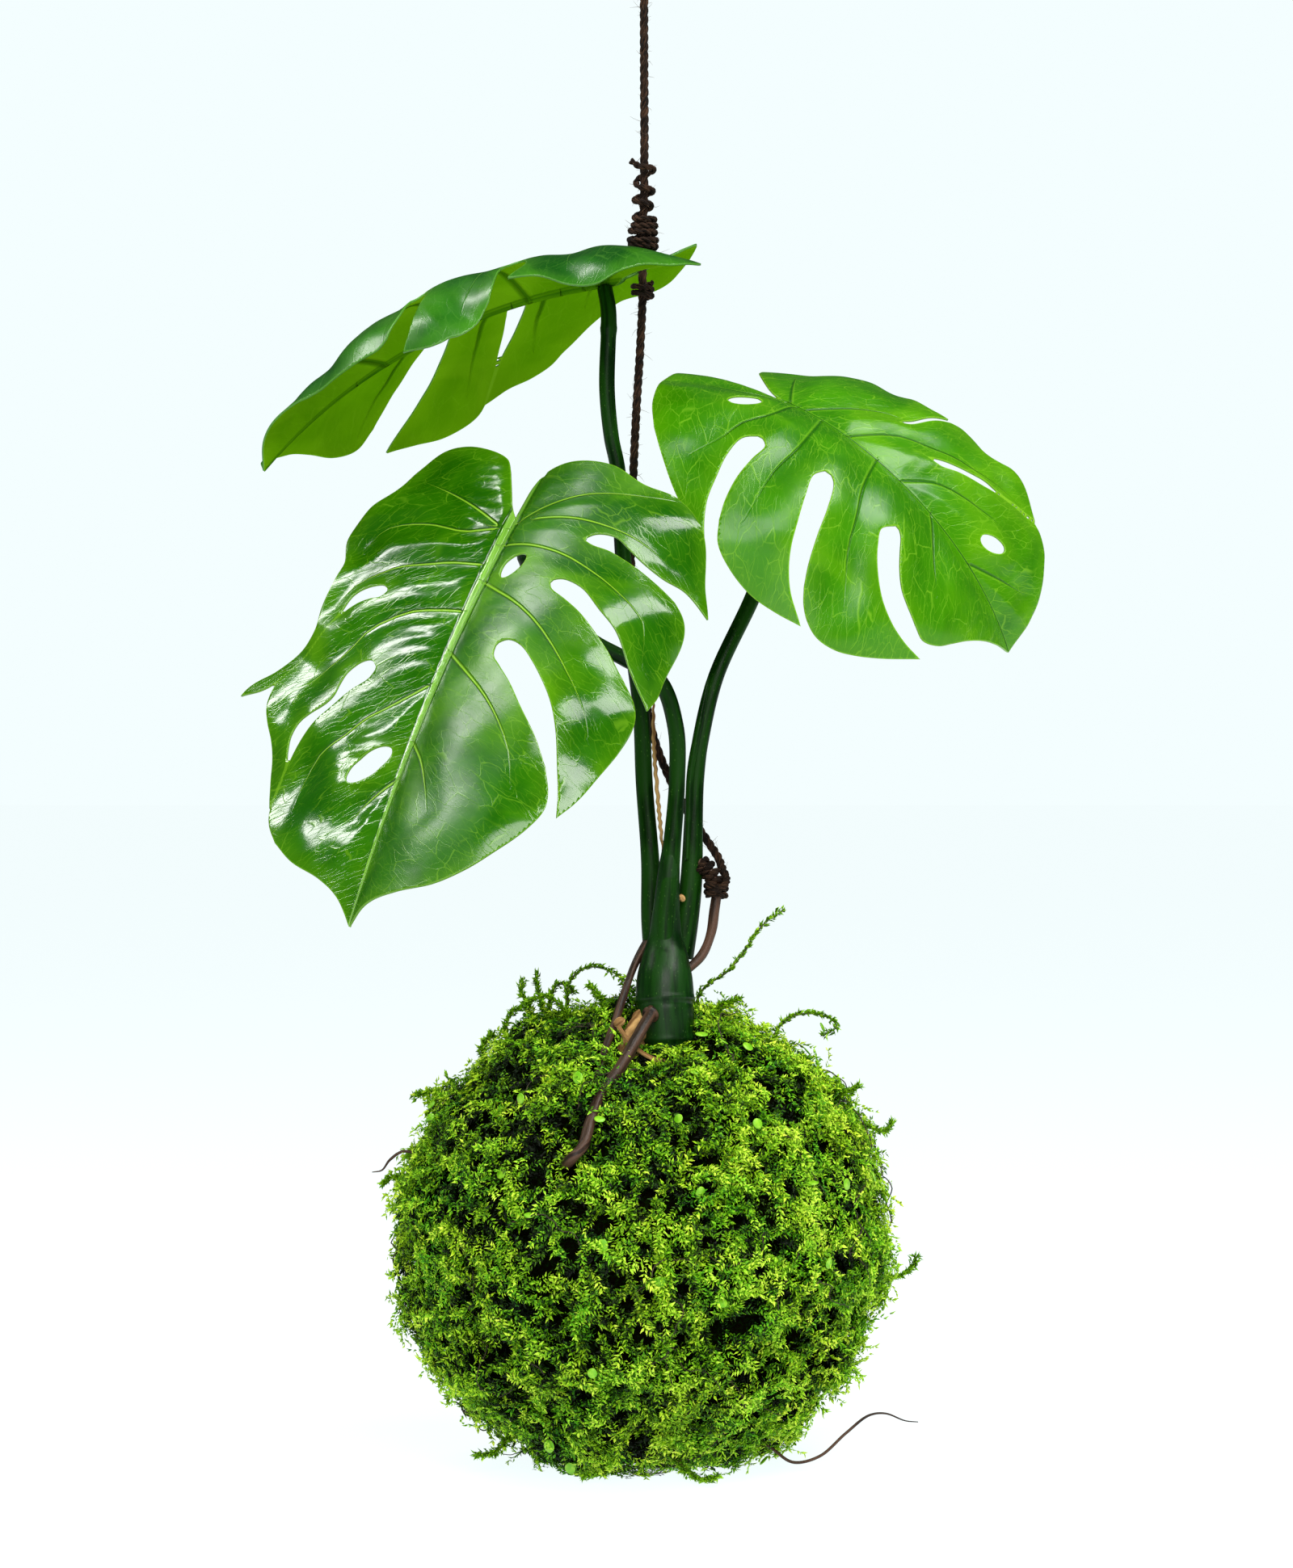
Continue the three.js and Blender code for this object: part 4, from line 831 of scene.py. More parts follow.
@dataclass
class Leaf:
    """A split leaf: flat halves with cuts and holes, bent in space, as one closed blade."""

    name: str
    pose: Pose
    halves: tuple[Half, Half]
    veins: tuple[tuple[Flat, ...], ...]
    upper: LeafFinish
    lower: LeafFinish
    slot: str
    rib_foot: float = 2.5
    rib_tip: float = 0.5
    rib_height: float = 0.25
    thickness: float = 0.6
    pucker: float = 1.3
    pucker_reach: float = 6.0
    margin_wave: float = 1.6
    wave_length: float = 41.0
    keel: float = 1.0
    folds: float = 0.06
    swell: float = 0.25
    cell: float = 0.8

    def axes(self) -> tuple[Array, Array, Array]:
        """Direction along the midrib, upper normal, and direction across, from the pose."""
        azimuth, elevation, roll = np.radians([self.pose.azimuth, self.pose.elevation, self.pose.roll])
        level = math.cos(elevation)
        along = np.array([level * math.cos(azimuth), level * math.sin(azimuth), math.sin(elevation)])
        upright = unit(np.array([0.0, 0.0, 1.0]) - along * along[2])
        normal = upright * math.cos(roll) + np.cross(along, upright) * math.sin(roll)
        return along, normal, np.cross(along, normal)

    def bent(self, half: Half, u: Array, w: Array) -> Array:
        """Place flat points in space.

        The midrib is an arc: it goes sin(bend u)/bend along and sinks (1 - cos(bend u))/bend.
        Across it, each half curls: its slope grows evenly with w, so it reaches
        (sin(slope + curl w) - sin(slope))/curl out and rises by the same with cosines. Where a
        half droops, its slope grows evenly along the midrib from DROOP_START to DROOP_END.
        """
        along, normal, across = self.axes()
        bend, twist = self.pose.bend, self.pose.twist
        turn = (bend * u)[:, None]
        middle = np.asarray(self.pose.foot) + along * np.sin(turn) / bend - normal * (1 - np.cos(turn)) / bend
        up = along * np.sin(turn) + normal * np.cos(turn)
        lean = (twist * u)[:, None]
        out = across * np.cos(lean) + up * np.sin(lean)
        rise = up * np.cos(lean) - across * np.sin(lean)
        slope = half.slope + half.droop * np.clip((u - DROOP_START) / (DROOP_END - DROOP_START), 0, 1)
        angle = slope + half.curl * w
        reach = (np.sin(angle) - np.sin(slope)) / half.curl
        height = (np.cos(angle) - np.cos(slope)) / half.curl
        return middle + out * (half.side * reach)[:, None] + rise * height[:, None]

    def normals(self, half: Half, u: Array, w: Array) -> Array:
        """Upper normals of the bent blade, from small steps each way."""
        step = 0.5
        along = self.bent(half, u + step, w) - self.bent(half, u - step, w)
        across = self.bent(half, u, w + step) - self.bent(half, u, w - step)
        return unit(-half.side * np.cross(along, across))

    def vein_lines(self) -> tuple[Array, Array]:
        """Starts and ends of the short straight pieces that the smooth side veins are cut into."""
        curves = [smooth_path(vein, VEIN_PIECES) for vein in self.veins]
        return np.concatenate([c[:-1] for c in curves]), np.concatenate([c[1:] for c in curves])

    def relief(self, half: Half, u: Array, w: Array, vein: Array) -> Array:
        """Height of the blade above its smooth form.

        It swells between the veins as pucker (1 - exp(-(d/reach)^2)), waves towards the margin
        with the square of w, is lifted behind its foot with the square of u, and carries short
        soft folds that cross each panel and fade away from the midrib, and slow swellings.
        """
        swelling = self.pucker * (1 - bell(np.minimum(vein, w), self.pucker_reach))
        wave = self.margin_wave * (w / 60) ** 2 * np.sin(TAU * (u + 0.4 * w) / self.wave_length)
        folds = np.sin(TAU * (u - FOLD_LEAN * w) / FOLD_LENGTH + 1.9 * np.sin(w / 7.1 + u / 9.0))
        folds = folds * (0.55 + 0.45 * np.sin(u / 8.3 + w / 5.0))
        faint = bell(w - FOLD_PLACE, FOLD_SPREAD) * np.minimum(vein / 3, 1)
        soft = np.sin(TAU * u / 23 + w / 9) * np.sin(TAU * w / 27 + 0.8 * np.sin(u / 11))
        soft = soft * np.minimum(w / 20, 1)
        creases = half.creased * (self.folds * folds * faint + self.swell * soft)
        return swelling * (0.5 + 0.5 * half.creased) + wave + half.lift * np.minimum(u, 0) ** 2 + creases

    def half_sheet(self, half: Half) -> tuple[Array, Array, Array]:
        """Cut one half out of a flat grid.

        The grid's rows are close together on the midrib. Cells that touch the inside are kept,
        and their corners that lie outside are moved onto the nearest point of the outline.

        Returns:
            Flat points, quads and the distance of each point from the margin.
        """
        lines = half.outline()
        low, high = lines[0].min(axis=0), lines[0].max(axis=0)
        us = np.arange(low[0] - self.cell, high[0] + 2 * self.cell, self.cell)
        ws = np.concatenate([FINE_ROWS, np.arange(EVEN_ROWS_FROM, high[1] + 2 * self.cell, self.cell)])
        points = np.stack(np.meshgrid(us, ws, indexing="ij"), -1).reshape(-1, 2)
        within = inside(points + (0, 1e-4), lines)
        kept = within.reshape(len(us), len(ws))
        kept = kept[:-1, :-1] | kept[1:, :-1] | kept[1:, 1:] | kept[:-1, 1:]
        quads = grid_faces(len(us), len(ws), wrap=False)[kept.ravel()]
        used = np.unique(quads)
        margin = lines[0][:-1]
        starts = np.concatenate([margin[:-1], *lines[1:]])
        ends = np.concatenate([margin[1:], *(np.roll(line, -1, axis=0) for line in lines[1:])])
        distance, _, nearest, _ = distance_to_lines(points[used], starts, ends)
        flat = np.where(within[used][:, None], points[used], nearest)
        flat[:, 1] = np.maximum(flat[:, 1], 0)
        order = np.full(len(points), -1)
        order[used] = np.arange(len(used))
        return flat, order[quads], np.where(within[used], distance, 0)

    def skins(self, half: Half, other: Half, length: float) -> dict[str, Array]:
        """Lay the upper and the lower skin of one half on either side of its bent middle.

        Near the midrib both halves share their normals. On top is a low flat rib with a groove
        on each side of it, below is a keel whose section is half an ellipse; both fade to the tip.

        Args:
            half: the half.
            other: the other half of the leaf.
            length: the leaf's length.

        Returns:
            Its quads, and at each vertex the two skins, the flat place and the finish's numbers.
        """
        sheet, quads, margin = self.half_sheet(half)
        u, w = sheet.T
        flat = np.stack([u, half.side * w], -1)
        vein, signed, _, run = distance_to_lines(flat, *self.vein_lines(), VEIN_PIECES)
        shared = bell(w, SHARED_NORMALS)[:, None]
        normal = unit(self.normals(half, u, w) + shared * self.normals(other, u, np.zeros_like(w)))
        centre = self.bent(half, u, w) + normal * self.relief(half, u, w, vein)[:, None]
        share = np.clip(u / length, 0, 1)
        rib_width = self.rib_foot + (self.rib_tip - self.rib_foot) * share
        rib = w / rib_width
        raised = self.rib_height * (1 - share) * np.clip(RIB_EDGE - rib, 0, 0.25) * 4
        groove = GROOVE_DEPTH * bell(rib - RIB_EDGE, GROOVE_WIDTH) * (1 - share)
        keel = self.keel * (1 - 0.8 * share) * np.sqrt(np.clip(1 - (w / (1.1 * rib_width)) ** 2, 0, 1))
        return {
            "quads": quads if half.side < 0 else quads[:, ::-1],
            "top": centre + normal * (self.thickness / 2 + raised - groove)[:, None],
            "bottom": centre - normal * (self.thickness / 2 + keel)[:, None],
            "flat": np.column_stack([flat, np.zeros_like(u)]),
            **dict(zip(LEAF_NUMBERS, (vein, signed, run, rib, margin))),
        }

    def surface(self) -> Surface:
        """Build the closed blade.

        The halves are welded where their flat places agree. A cell that lost a corner at the
        outline becomes a triangle. An edge that no other cell shares is free, and a quad joins
        it to the same edge of the lower skin.
        """
        length = max(lobe.tip[0] for half in self.halves for lobe in half.lobes)
        one, two = (self.skins(half, other, length) for half, other in zip(self.halves, self.halves[::-1]))
        quads = np.concatenate([one.pop("quads"), two.pop("quads") + len(one["flat"])])
        held = {key: np.concatenate([one[key], two[key]]) for key in one}
        keys = np.round(held["flat"][:, :2] * WELDS_PER_MM).astype(np.int64)
        _, first, back = np.unique(keys, axis=0, return_index=True, return_inverse=True)
        quads = back.ravel()[quads]
        quads = quads[(quads[:, 0] != quads[:, 2]) & (quads[:, 1] != quads[:, 3])]
        same = np.roll(quads, -1, axis=1) == quads
        lost = same.sum(1)
        whole = quads[lost == 0]
        triangles = quads[lost == 1][~same[lost == 1]].reshape(-1, 3)
        sides = [np.stack([f, np.roll(f, -1, axis=1)], -1).reshape(-1, 2) for f in (whole, triangles)]
        edges, total = np.concatenate(sides), len(first)
        free = edges[~np.isin(edges[:, 0] * total + edges[:, 1], edges[:, 1] * total + edges[:, 0])]
        rim = np.stack([free[:, 1], free[:, 0], free[:, 0] + total, free[:, 1] + total], -1)
        parts = [whole, triangles, whole[:, ::-1] + total, triangles[:, ::-1] + total, rim]
        sides_of = (Side.UPPER, Side.UPPER, Side.LOWER, Side.LOWER, Side.UPPER)
        fields = {key: np.tile(held[key][first], 2) for key in LEAF_NUMBERS}
        fields["flat"] = np.tile(held["flat"][first], (2, 1))
        return Surface(
            np.concatenate([held["top"][first], held["bottom"][first]]), parts, fields,
            [np.full(len(faces), side.value) for faces, side in zip(parts, sides_of)],
        )

    def build(self) -> bpy.types.Object:
        """Make the leaf and let it stand for its solid."""
        finishes = [self.upper.make(), self.lower.make()]
        return write_piece(f"blade_{self.name[-1]}", self.surface(), finishes, [self.name])


def leaf_a() -> Leaf:
    """The leaf at the top left, seen from below, with its near half turned up to the light."""
    far = Half(1, slope=-0.93, curl=0.0196, lift=0.007, lobes=(
        Lobe(near=((-10, 3), (-17, 6.5), (-23, 10.5)), tip=(41.8, 68.6),
             outer=((-27.5, 18), (-27, 27), (-24.5, 35), (-22, 42), (-18.5, 48), (-13, 51), (-4, 51),
                    (3, 54.5), (9, 59), (14, 63.5), (18.5, 68), (25, 69.8), (34, 68.8)),
             far=((23.3, 30), (24, 38), (26.2, 46), (29.8, 54), (34.6, 60.4), (38.3, 64.6))),
        Lobe(inner=(26, 27),
             near=((28.2, 31), (28.9, 38), (30.2, 46), (32.6, 54), (35.6, 60.2), (39.1, 64.6)),
             outer=((43, 69.5), (48, 71.8), (57, 72.5), (66, 69)), tip=(76.5, 63.5),
             far=((45.5, 27), (49, 40), (55, 49), (62, 57), (69, 61.5))),
        Lobe(inner=(48, 24), near=((51.5, 26), (55.5, 31), (62, 39), (70, 48.5), (77, 53)),
             outer=((85, 53.5), (93, 49), (100, 39.5), (109, 27), (118, 15)), tip=(126, 0)),
    ))
    near = Half(-1, slope=-0.265, curl=0.035, lift=-0.0055, droop=0.34, lobes=(
        Lobe(near=((-10, 4), (-18, 7), (-25, 11)), tip=(33, 44),
             outer=((-31, 17), (-32, 25), (-27, 33), (-18, 39), (-8, 45), (3, 50), (13, 49), (22, 45)),
             far=((24, 31), (24.5, 35), (27, 39))),
        Lobe(inner=(25, 27), near=((29, 28), (31, 33), (34.5, 39), (38, 45), (42, 51)),
             outer=((50, 57), (60, 60), (69, 58)), tip=(78, 52),
             far=((54.5, 30), (58, 36), (64, 43), (70, 48))),
        Lobe(inner=(56, 26), near=((60, 27.5), (65, 33), (71.5, 38.5), (78, 42)),
             outer=((84, 42), (90, 39.5), (96, 36), (103, 31), (111, 24), (119, 13.5)), tip=(126, 0)),
    ))
    veins = (
        ((-1, 1), (-8, 7), (-16, 18), (-22, 32)), ((1, 1), (0, 12), (2, 26), (6, 44)),
        ((14, 1), (17, 27), (21, 46), (23, 58)), ((30, 1), (35, 26), (39, 44), (46, 60)),
        ((58, 1), (66, 29), (74, 41), (82, 48)), ((86, 1), (96, 14), (104, 22)),
        ((0, -1), (-8, -10), (-18, -20)), ((6, -1), (8, -20), (12, -40)), ((24, -1), (34, -26), (52, -50)),
        ((46, -1), (60, -22), (80, -42)), ((74, -1), (90, -18), (104, -30)),
    )
    pose = Pose((-12, 11.4, 365.4), azimuth=180, elevation=-8.6, roll=27.8, bend=0.0066, twist=-0.0024)
    upper = LeafFinish(
        "leaf_a_top", Side.UPPER, (12, 66, 8), (28, 92, 12), (58, 122, 16), (84, 148, 48), (8, 50, 8),
        (64, 126, 40), (92, 152, 50), rough=0.28, sheen=0.34, net_share=0.2,
    )
    # On this underside the dark vein and shade colours paint the veins' shadows seen through the leaf.
    under = LeafFinish(
        "leaf_a_under", Side.LOWER, (84, 140, 2), (94, 150, 4), (112, 165, 14), (40, 92, 4), (56, 108, 4),
        (48, 100, 6), (124, 176, 34), net_share=0.2, shade_share=0.6, vein_width=1.9,
    )
    return Leaf("leaf_a", pose, (far, near), veins, upper, under, "leaf_matte", rib_foot=1.5)


def leaf_b() -> Leaf:
    """The large dark glossy leaf at the lower left, facing the camera."""
    right = Half(-1, slope=-0.49, curl=0.0239, creased=0.3, holes=(Hole((16, 0), (29, 28), 13.3, 3.9, 5.0),),
                 lobes=(
        Lobe(near=((-10, 0), (-17, 0.5), (-22.5, 4)), tip=(16, 75),
             outer=((-24, 14), (-23, 27), (-18.5, 39), (-19, 50), (-13, 58.5), (-5, 66), (5, 73)),
             far=((7, 34), (6, 39.5), (8.5, 45), (11, 51), (12.2, 58), (11.5, 66))),
        Lobe(inner=(10.5, 31), near=((12, 34.5), (12.3, 40), (13.3, 45), (14.8, 51), (17, 57.5), (20, 63.5)),
             outer=((25, 68.5), (32, 72), (41, 73.5), (52, 72.5)), tip=(62, 70),
             far=((27.5, 31), (29.5, 37.5), (36, 45.5), (40.5, 52.5), (45, 57.5), (51, 62.5))),
        Lobe(inner=(29, 28), near=((32.5, 30), (35.5, 34.5), (39.5, 41), (44.5, 48), (49, 54.5), (55, 60.5)),
             outer=((62, 65.5), (70, 68.5), (79, 68.5), (92, 65.2), (103, 61.8)), tip=(110, 58.6),
             far=((53, 24), (54.5, 28.5), (59, 33.5), (68, 41), (77, 46.7), (88, 51.9), (99, 55.9))),
        Lobe(inner=(54.5, 21), near=((58.5, 21.5), (62.5, 25), (69, 31), (78, 38), (86, 44.8), (94, 50.6)),
             outer=((102, 53.9), (109, 54.8), (117, 52), (125, 46.5), (132.5, 40), (138, 32), (140.5, 21),
                    (142.5, 10)), tip=(147, 0)),
    ))
    left = Half(1, slope=-0.15, curl=0.0049, holes=(Hole((82, 0), (119, 36.5), 16.5, 8, 4.2),), lobes=(
        Lobe(near=((-8, 3), (-15, 6), (-22, 9)), tip=(64.6, 70.6),
             outer=((-27, 12), (-30, 18), (-31.5, 27), (-28.5, 35), (-21, 41), (-12, 43.5), (-4, 50), (6, 55),
                    (17, 52), (26, 51.4), (35, 52), (42, 51.4), (46.5, 53.2), (51.5, 57), (56, 61.3),
                    (59.5, 66.6)),
             far=((26.4, 33), (26.8, 37.7), (30, 42.4), (37.2, 44.5), (45, 48.6), (53, 53.9), (60.5, 58.9),
                  (63.7, 63.6))),
        Lobe(inner=(29, 30),
             near=((31.6, 31.4), (32.7, 34.8), (34.4, 38.6), (38, 43.6), (45.1, 48.4), (53.1, 53.7),
                   (60.8, 58.6)),
             outer=((65.5, 58.6), (70.5, 57.9), (76, 55.8), (82, 52.8), (89, 50.2), (96, 48.2), (102, 46)),
             tip=(106.5, 43.8),
             far=((56, 25), (56.5, 29.3), (59.5, 32.3), (64, 33.3), (68.3, 34), (71.8, 36.5), (74.6, 40),
                  (77.4, 43.3), (81.5, 44.8), (86.5, 44.4), (92, 43.2), (99, 44.1))),
        Lobe(inner=(59, 22), near=((62.3, 23.5), (66, 27.5), (71, 32), (77, 36.3), (84, 40.2), (92, 42.6)),
             outer=((100, 43.6), (107, 43.3), (113, 41)), tip=(119, 36.5)),
        Lobe(outer=((126, 27.5), (132, 15.5), (138, 7)), tip=(147, 0)),
    ))
    veins = (
        ((1, -1), (-4, -12), (-9, -24), (-13, -40), (-17, -49)),
        ((1, -11), (2, -25), (3, -36), (4, -47), (6, -58)),
        ((9, 0), (13, -14), (17, -27), (22, -39), (28, -50), (34, -59), (44, -64)),
        ((24, 0), (31, -10), (39, -22), (48, -33), (59, -44), (71, -53), (79, -58)),
        ((52, 0), (64, -14), (73, -24), (82, -32), (92, -39), (102, -43)),
        ((86, -1), (95, -10), (106, -17), (114, -21)), ((0, 5), (-7, 16), (-13, 28), (-17, 37)),
        ((2, 5), (4, 14), (2, 26), (2, 37), (5, 44), (12, 48)),
        ((17, 4), (17, 14), (18, 24), (20, 35), (26, 43), (34, 47)),
        ((36, 3), (36, 12), (38, 22), (44, 31), (53, 38), (63, 47), (71, 49)),
        ((65, 3), (70, 9), (76, 18), (83, 25), (90, 32), (99, 35), (107, 35)),
        ((99, 1), (103, 5), (108, 9), (112, 11)),
    )
    pose = Pose((-39, -39.3, 286.6), azimuth=-119.3, elevation=-45.7, roll=-2.1, bend=0.0018, twist=-0.0017)
    upper = LeafFinish(
        "leaf_b_top", Side.UPPER, (22, 82, 0), (40, 102, 2), (76, 132, 5), (140, 192, 44), (10, 62, 2),
        (122, 176, 62), (116, 168, 32), rough=0.13, sheen=0.42, net_share=0.36, dull=0.2,
    )
    under = LeafFinish(
        "leaf_b_under", Side.LOWER, (82, 140, 6), (94, 152, 12), (116, 168, 28), (60, 112, 8), (66, 118, 8),
        (80, 136, 20), (122, 172, 44),
    )
    return Leaf("leaf_b", pose, (right, left), veins, upper, under, "leaf_dark", folds=0.13, swell=0.3)


def leaf_c() -> Leaf:
    """The brighter leaf at the right."""
    near = Half(1, slope=-0.78, curl=0.0175, holes=(Hole((4, 0), (-10, 51.5), 21.5, 6, 2.6),), lobes=(
        Lobe(near=((-10, 4.5), (-19, 7), (-27, 9.5)), outer=((-32, 14), (-30, 21), (-25, 31), (-18, 42)),
             tip=(-10, 51.5)),
        Lobe(outer=((-3, 58), (5, 64.5), (13, 69)), tip=(22, 72),
             far=((9, 36), (9.5, 44), (12, 53), (14.5, 61), (18, 67))),
        Lobe(inner=(12, 32), near=((15, 34), (15.5, 41), (16.5, 50), (18.5, 58), (21, 64)),
             outer=((25, 69.5), (32, 72.5), (41, 73.3), (49.5, 71)), tip=(57.3, 67.4),
             far=((30, 31), (33, 40), (36.7, 48.3), (39.6, 54), (43.2, 58.8), (48.5, 63.4))),
        Lobe(inner=(31.5, 26), near=((34.8, 28.2), (39, 37), (42.5, 46), (46.2, 53.5), (50, 59.3)),
             outer=((53.5, 62.8), (57.5, 65), (62.5, 65.6), (68.5, 63.2), (73.5, 59), (79.5, 52)),
             tip=(87, 41),
             far=((52.6, 27), (55, 31.6), (58.5, 36), (63.2, 40), (68, 42.8), (73.5, 44), (80, 43.3))),
        Lobe(inner=(55, 21),
             near=((57.5, 22.6), (60.6, 26.7), (64.2, 31.2), (68.2, 34.5), (72.5, 36.2), (78, 37.5)),
             outer=((83, 37.6), (87.3, 33.8), (90, 28.5), (93, 22.5), (97.7, 15.3), (103.5, 8.8)),
             tip=(113, 0)),
    ))
    far = Half(-1, slope=0.25, curl=0.012, holes=(Hole((64, 0), (101, 29), 20.5, 5.5, 2.8),), lobes=(
        Lobe(near=((-10, 3), (-18, 8), (-26, 14)), tip=(38.6, 43),
             outer=((-32, 22), (-34, 33), (-30, 43), (-20, 51), (-7, 56), (4, 57), (13, 52), (21, 45.5),
                    (30, 42)), far=((29.6, 25), (31.8, 30), (34.6, 36))),
        Lobe(inner=(29.5, 21.5), near=((31.6, 24.3), (33.8, 29.3), (36.8, 35.3), (40.6, 42)),
             outer=((45, 45.6), (50.5, 46.4), (57.5, 44), (64.5, 44.8), (70, 46.3), (76, 45.8), (82.5, 42.6)),
             tip=(88, 38.6),
             far=((49, 20), (54.5, 24.2), (59.5, 28.2), (64.5, 30.8), (71.2, 31.7), (80, 35.2))),
        Lobe(inner=(45.5, 16),
             near=((50, 16.8), (56, 21.3), (61, 24.8), (66, 27.4), (71.8, 30.5), (80.2, 33.8), (88.6, 37.3)),
             outer=((93, 36.6), (97.8, 33.8)), tip=(101, 29)),
        Lobe(outer=((104.5, 23.3), (107.3, 17.8), (109, 12), (110.6, 6)), tip=(113, 0)),
    ))
    veins = (
        ((0, 1), (-10, 14), (-24, 22)), ((4, 1), (7, 20), (5, 31), (5, 41), (2, 52)),
        ((14, 1), (17, 9), (21, 26), (22, 39), (24, 49), (26, 59)),
        ((36, 1), (41, 20), (46, 31), (51, 41), (56, 47), (61, 53)), ((60, 1), (67, 13), (72, 19), (76, 23)),
        ((0, -1), (-7, -10), (-18, -24)), ((7, -1), (15, -13), (22, -22), (31, -27)),
        ((24, -1), (33, -15), (44, -22), (55, -29), (71, -35), (82, -36)),
        ((46, -1), (54, -11), (63, -16), (74, -20), (82, -22)), ((80, -1), (92, -9), (100, -14)),
    )
    pose = Pose((45.6, 17.9, 328.6), azimuth=-35.4, elevation=-23, roll=40.5, bend=0.0122, twist=-0.0026)
    # On this leaf the dark vein and midrib colours are painted shade in their grooves, and the light shade
    # colour is a painted highlight along each groove's edge.
    upper = LeafFinish(
        "leaf_c_top", Side.UPPER, (43, 110, 0), (57, 127, 2), (86, 149, 5), (22, 84, 2), (104, 166, 28),
        (28, 92, 4), (140, 196, 44), rough=0.24, sheen=0.26, net_share=0.36, shade_share=0.55,
        strip_width=0.55,
    )
    under = LeafFinish(
        "leaf_c_under", Side.LOWER, (88, 146, 8), (104, 162, 16), (124, 176, 34), (64, 118, 10),
        (72, 124, 12), (84, 140, 22), (134, 180, 52),
    )
    return Leaf("leaf_c", pose, (near, far), veins, upper, under, "leaf_bright", rib_foot=1.0,
                rib_height=0.12, swell=0.15)


# ---------------------------------------------------------------- stems and roots


JOINT_BELOW, JOINT_RUN = 1.65, 9.0


def leaf_joint(leaf: Leaf) -> list[Point]:
    """The last two points of a petiole: square under the thick foot of its leaf's midrib."""
    _, normal, _ = leaf.axes()
    foot = np.asarray(leaf.pose.foot)
    return [tuple(foot - normal * (JOINT_BELOW + JOINT_RUN)), tuple(foot - normal * JOINT_BELOW)]


@dataclass
class Petiole:
    """A leaf stalk, thicker at its foot, with the ring and swelling under its leaf."""

    name: str
    leaf: Leaf
    foot_radius: float
    route: tuple[Point, ...]
    waist_radius: float = 2.6
    waist_at: float = 0.35
    ring_at: float = 0.93
    steps: int = 240
    sides: int = 28

    def build(self) -> bpy.types.Object:
        """Make the stalk: a rod that narrows upwards, with a ring and shallow lengthwise ridges."""
        path = smooth_path([*self.route, *leaf_joint(self.leaf)], self.steps)
        t = np.linspace(0, 1, self.steps + 1)
        narrowing = (self.waist_radius - self.foot_radius) * np.minimum(t / self.waist_at, 1)
        radius = self.foot_radius + narrowing - 0.25 * t
        radius = radius + 0.22 * bell(t - self.ring_at, 0.006) + 0.12 * (t > self.ring_at)

        def ridges(along: Array, angle: Array) -> Array:
            """Three low ridges that wander slowly round the stalk, and a slow swelling along it."""
            return 0.09 * np.sin(3 * angle + along / 45) + 0.06 * np.sin(along / 9.0)

        surface = rod(path, radius, self.sides, (0.25, 1, 0), ripple=ridges)
        return write_piece(f"stalk_{self.name[-1]}", surface, [STEM_GREEN.make()], [self.name])


def petioles(leaves: Sequence[Leaf]) -> tuple[Petiole, ...]:
    """The three stalks, each up to its leaf."""
    return (
        Petiole("petiole_a", leaves[0], 3.1, (
            (3.4, -9, 156), (2.6, -7.2, 168), (2.4, -4, 185), (0.6, 0, 209.5), (-0.4, 1.2, 232),
            (-3.6, 2, 256), (-5.9, 2.5, 279.5), (-7.6, 3, 307), (-9.6, 3.4, 317), (-11, 4, 332))),
        Petiole("petiole_b", leaves[1], 3.3, (
            (6.9, -17.6, 156), (7.1, -17, 167), (8.8, -15, 188), (10.6, -12.6, 210), (10.2, -12.4, 227),
            (5.3, -13.2, 241), (-5.6, -17, 247.8), (-14.7, -21, 252.6), (-24.3, -25.5, 260.2),
            (-32.5, -29.5, 269.5))),
        Petiole("petiole_c", leaves[2], 3.9, (
            (11.7, -9, 156), (13.6, -8.3, 168), (15, -6.8, 180), (16.4, -3, 211), (18.4, -1, 225),
            (23, 3.5, 243), (34.5, 12, 267.8), (40.5, 19, 284), (45, 24, 304))),
    )


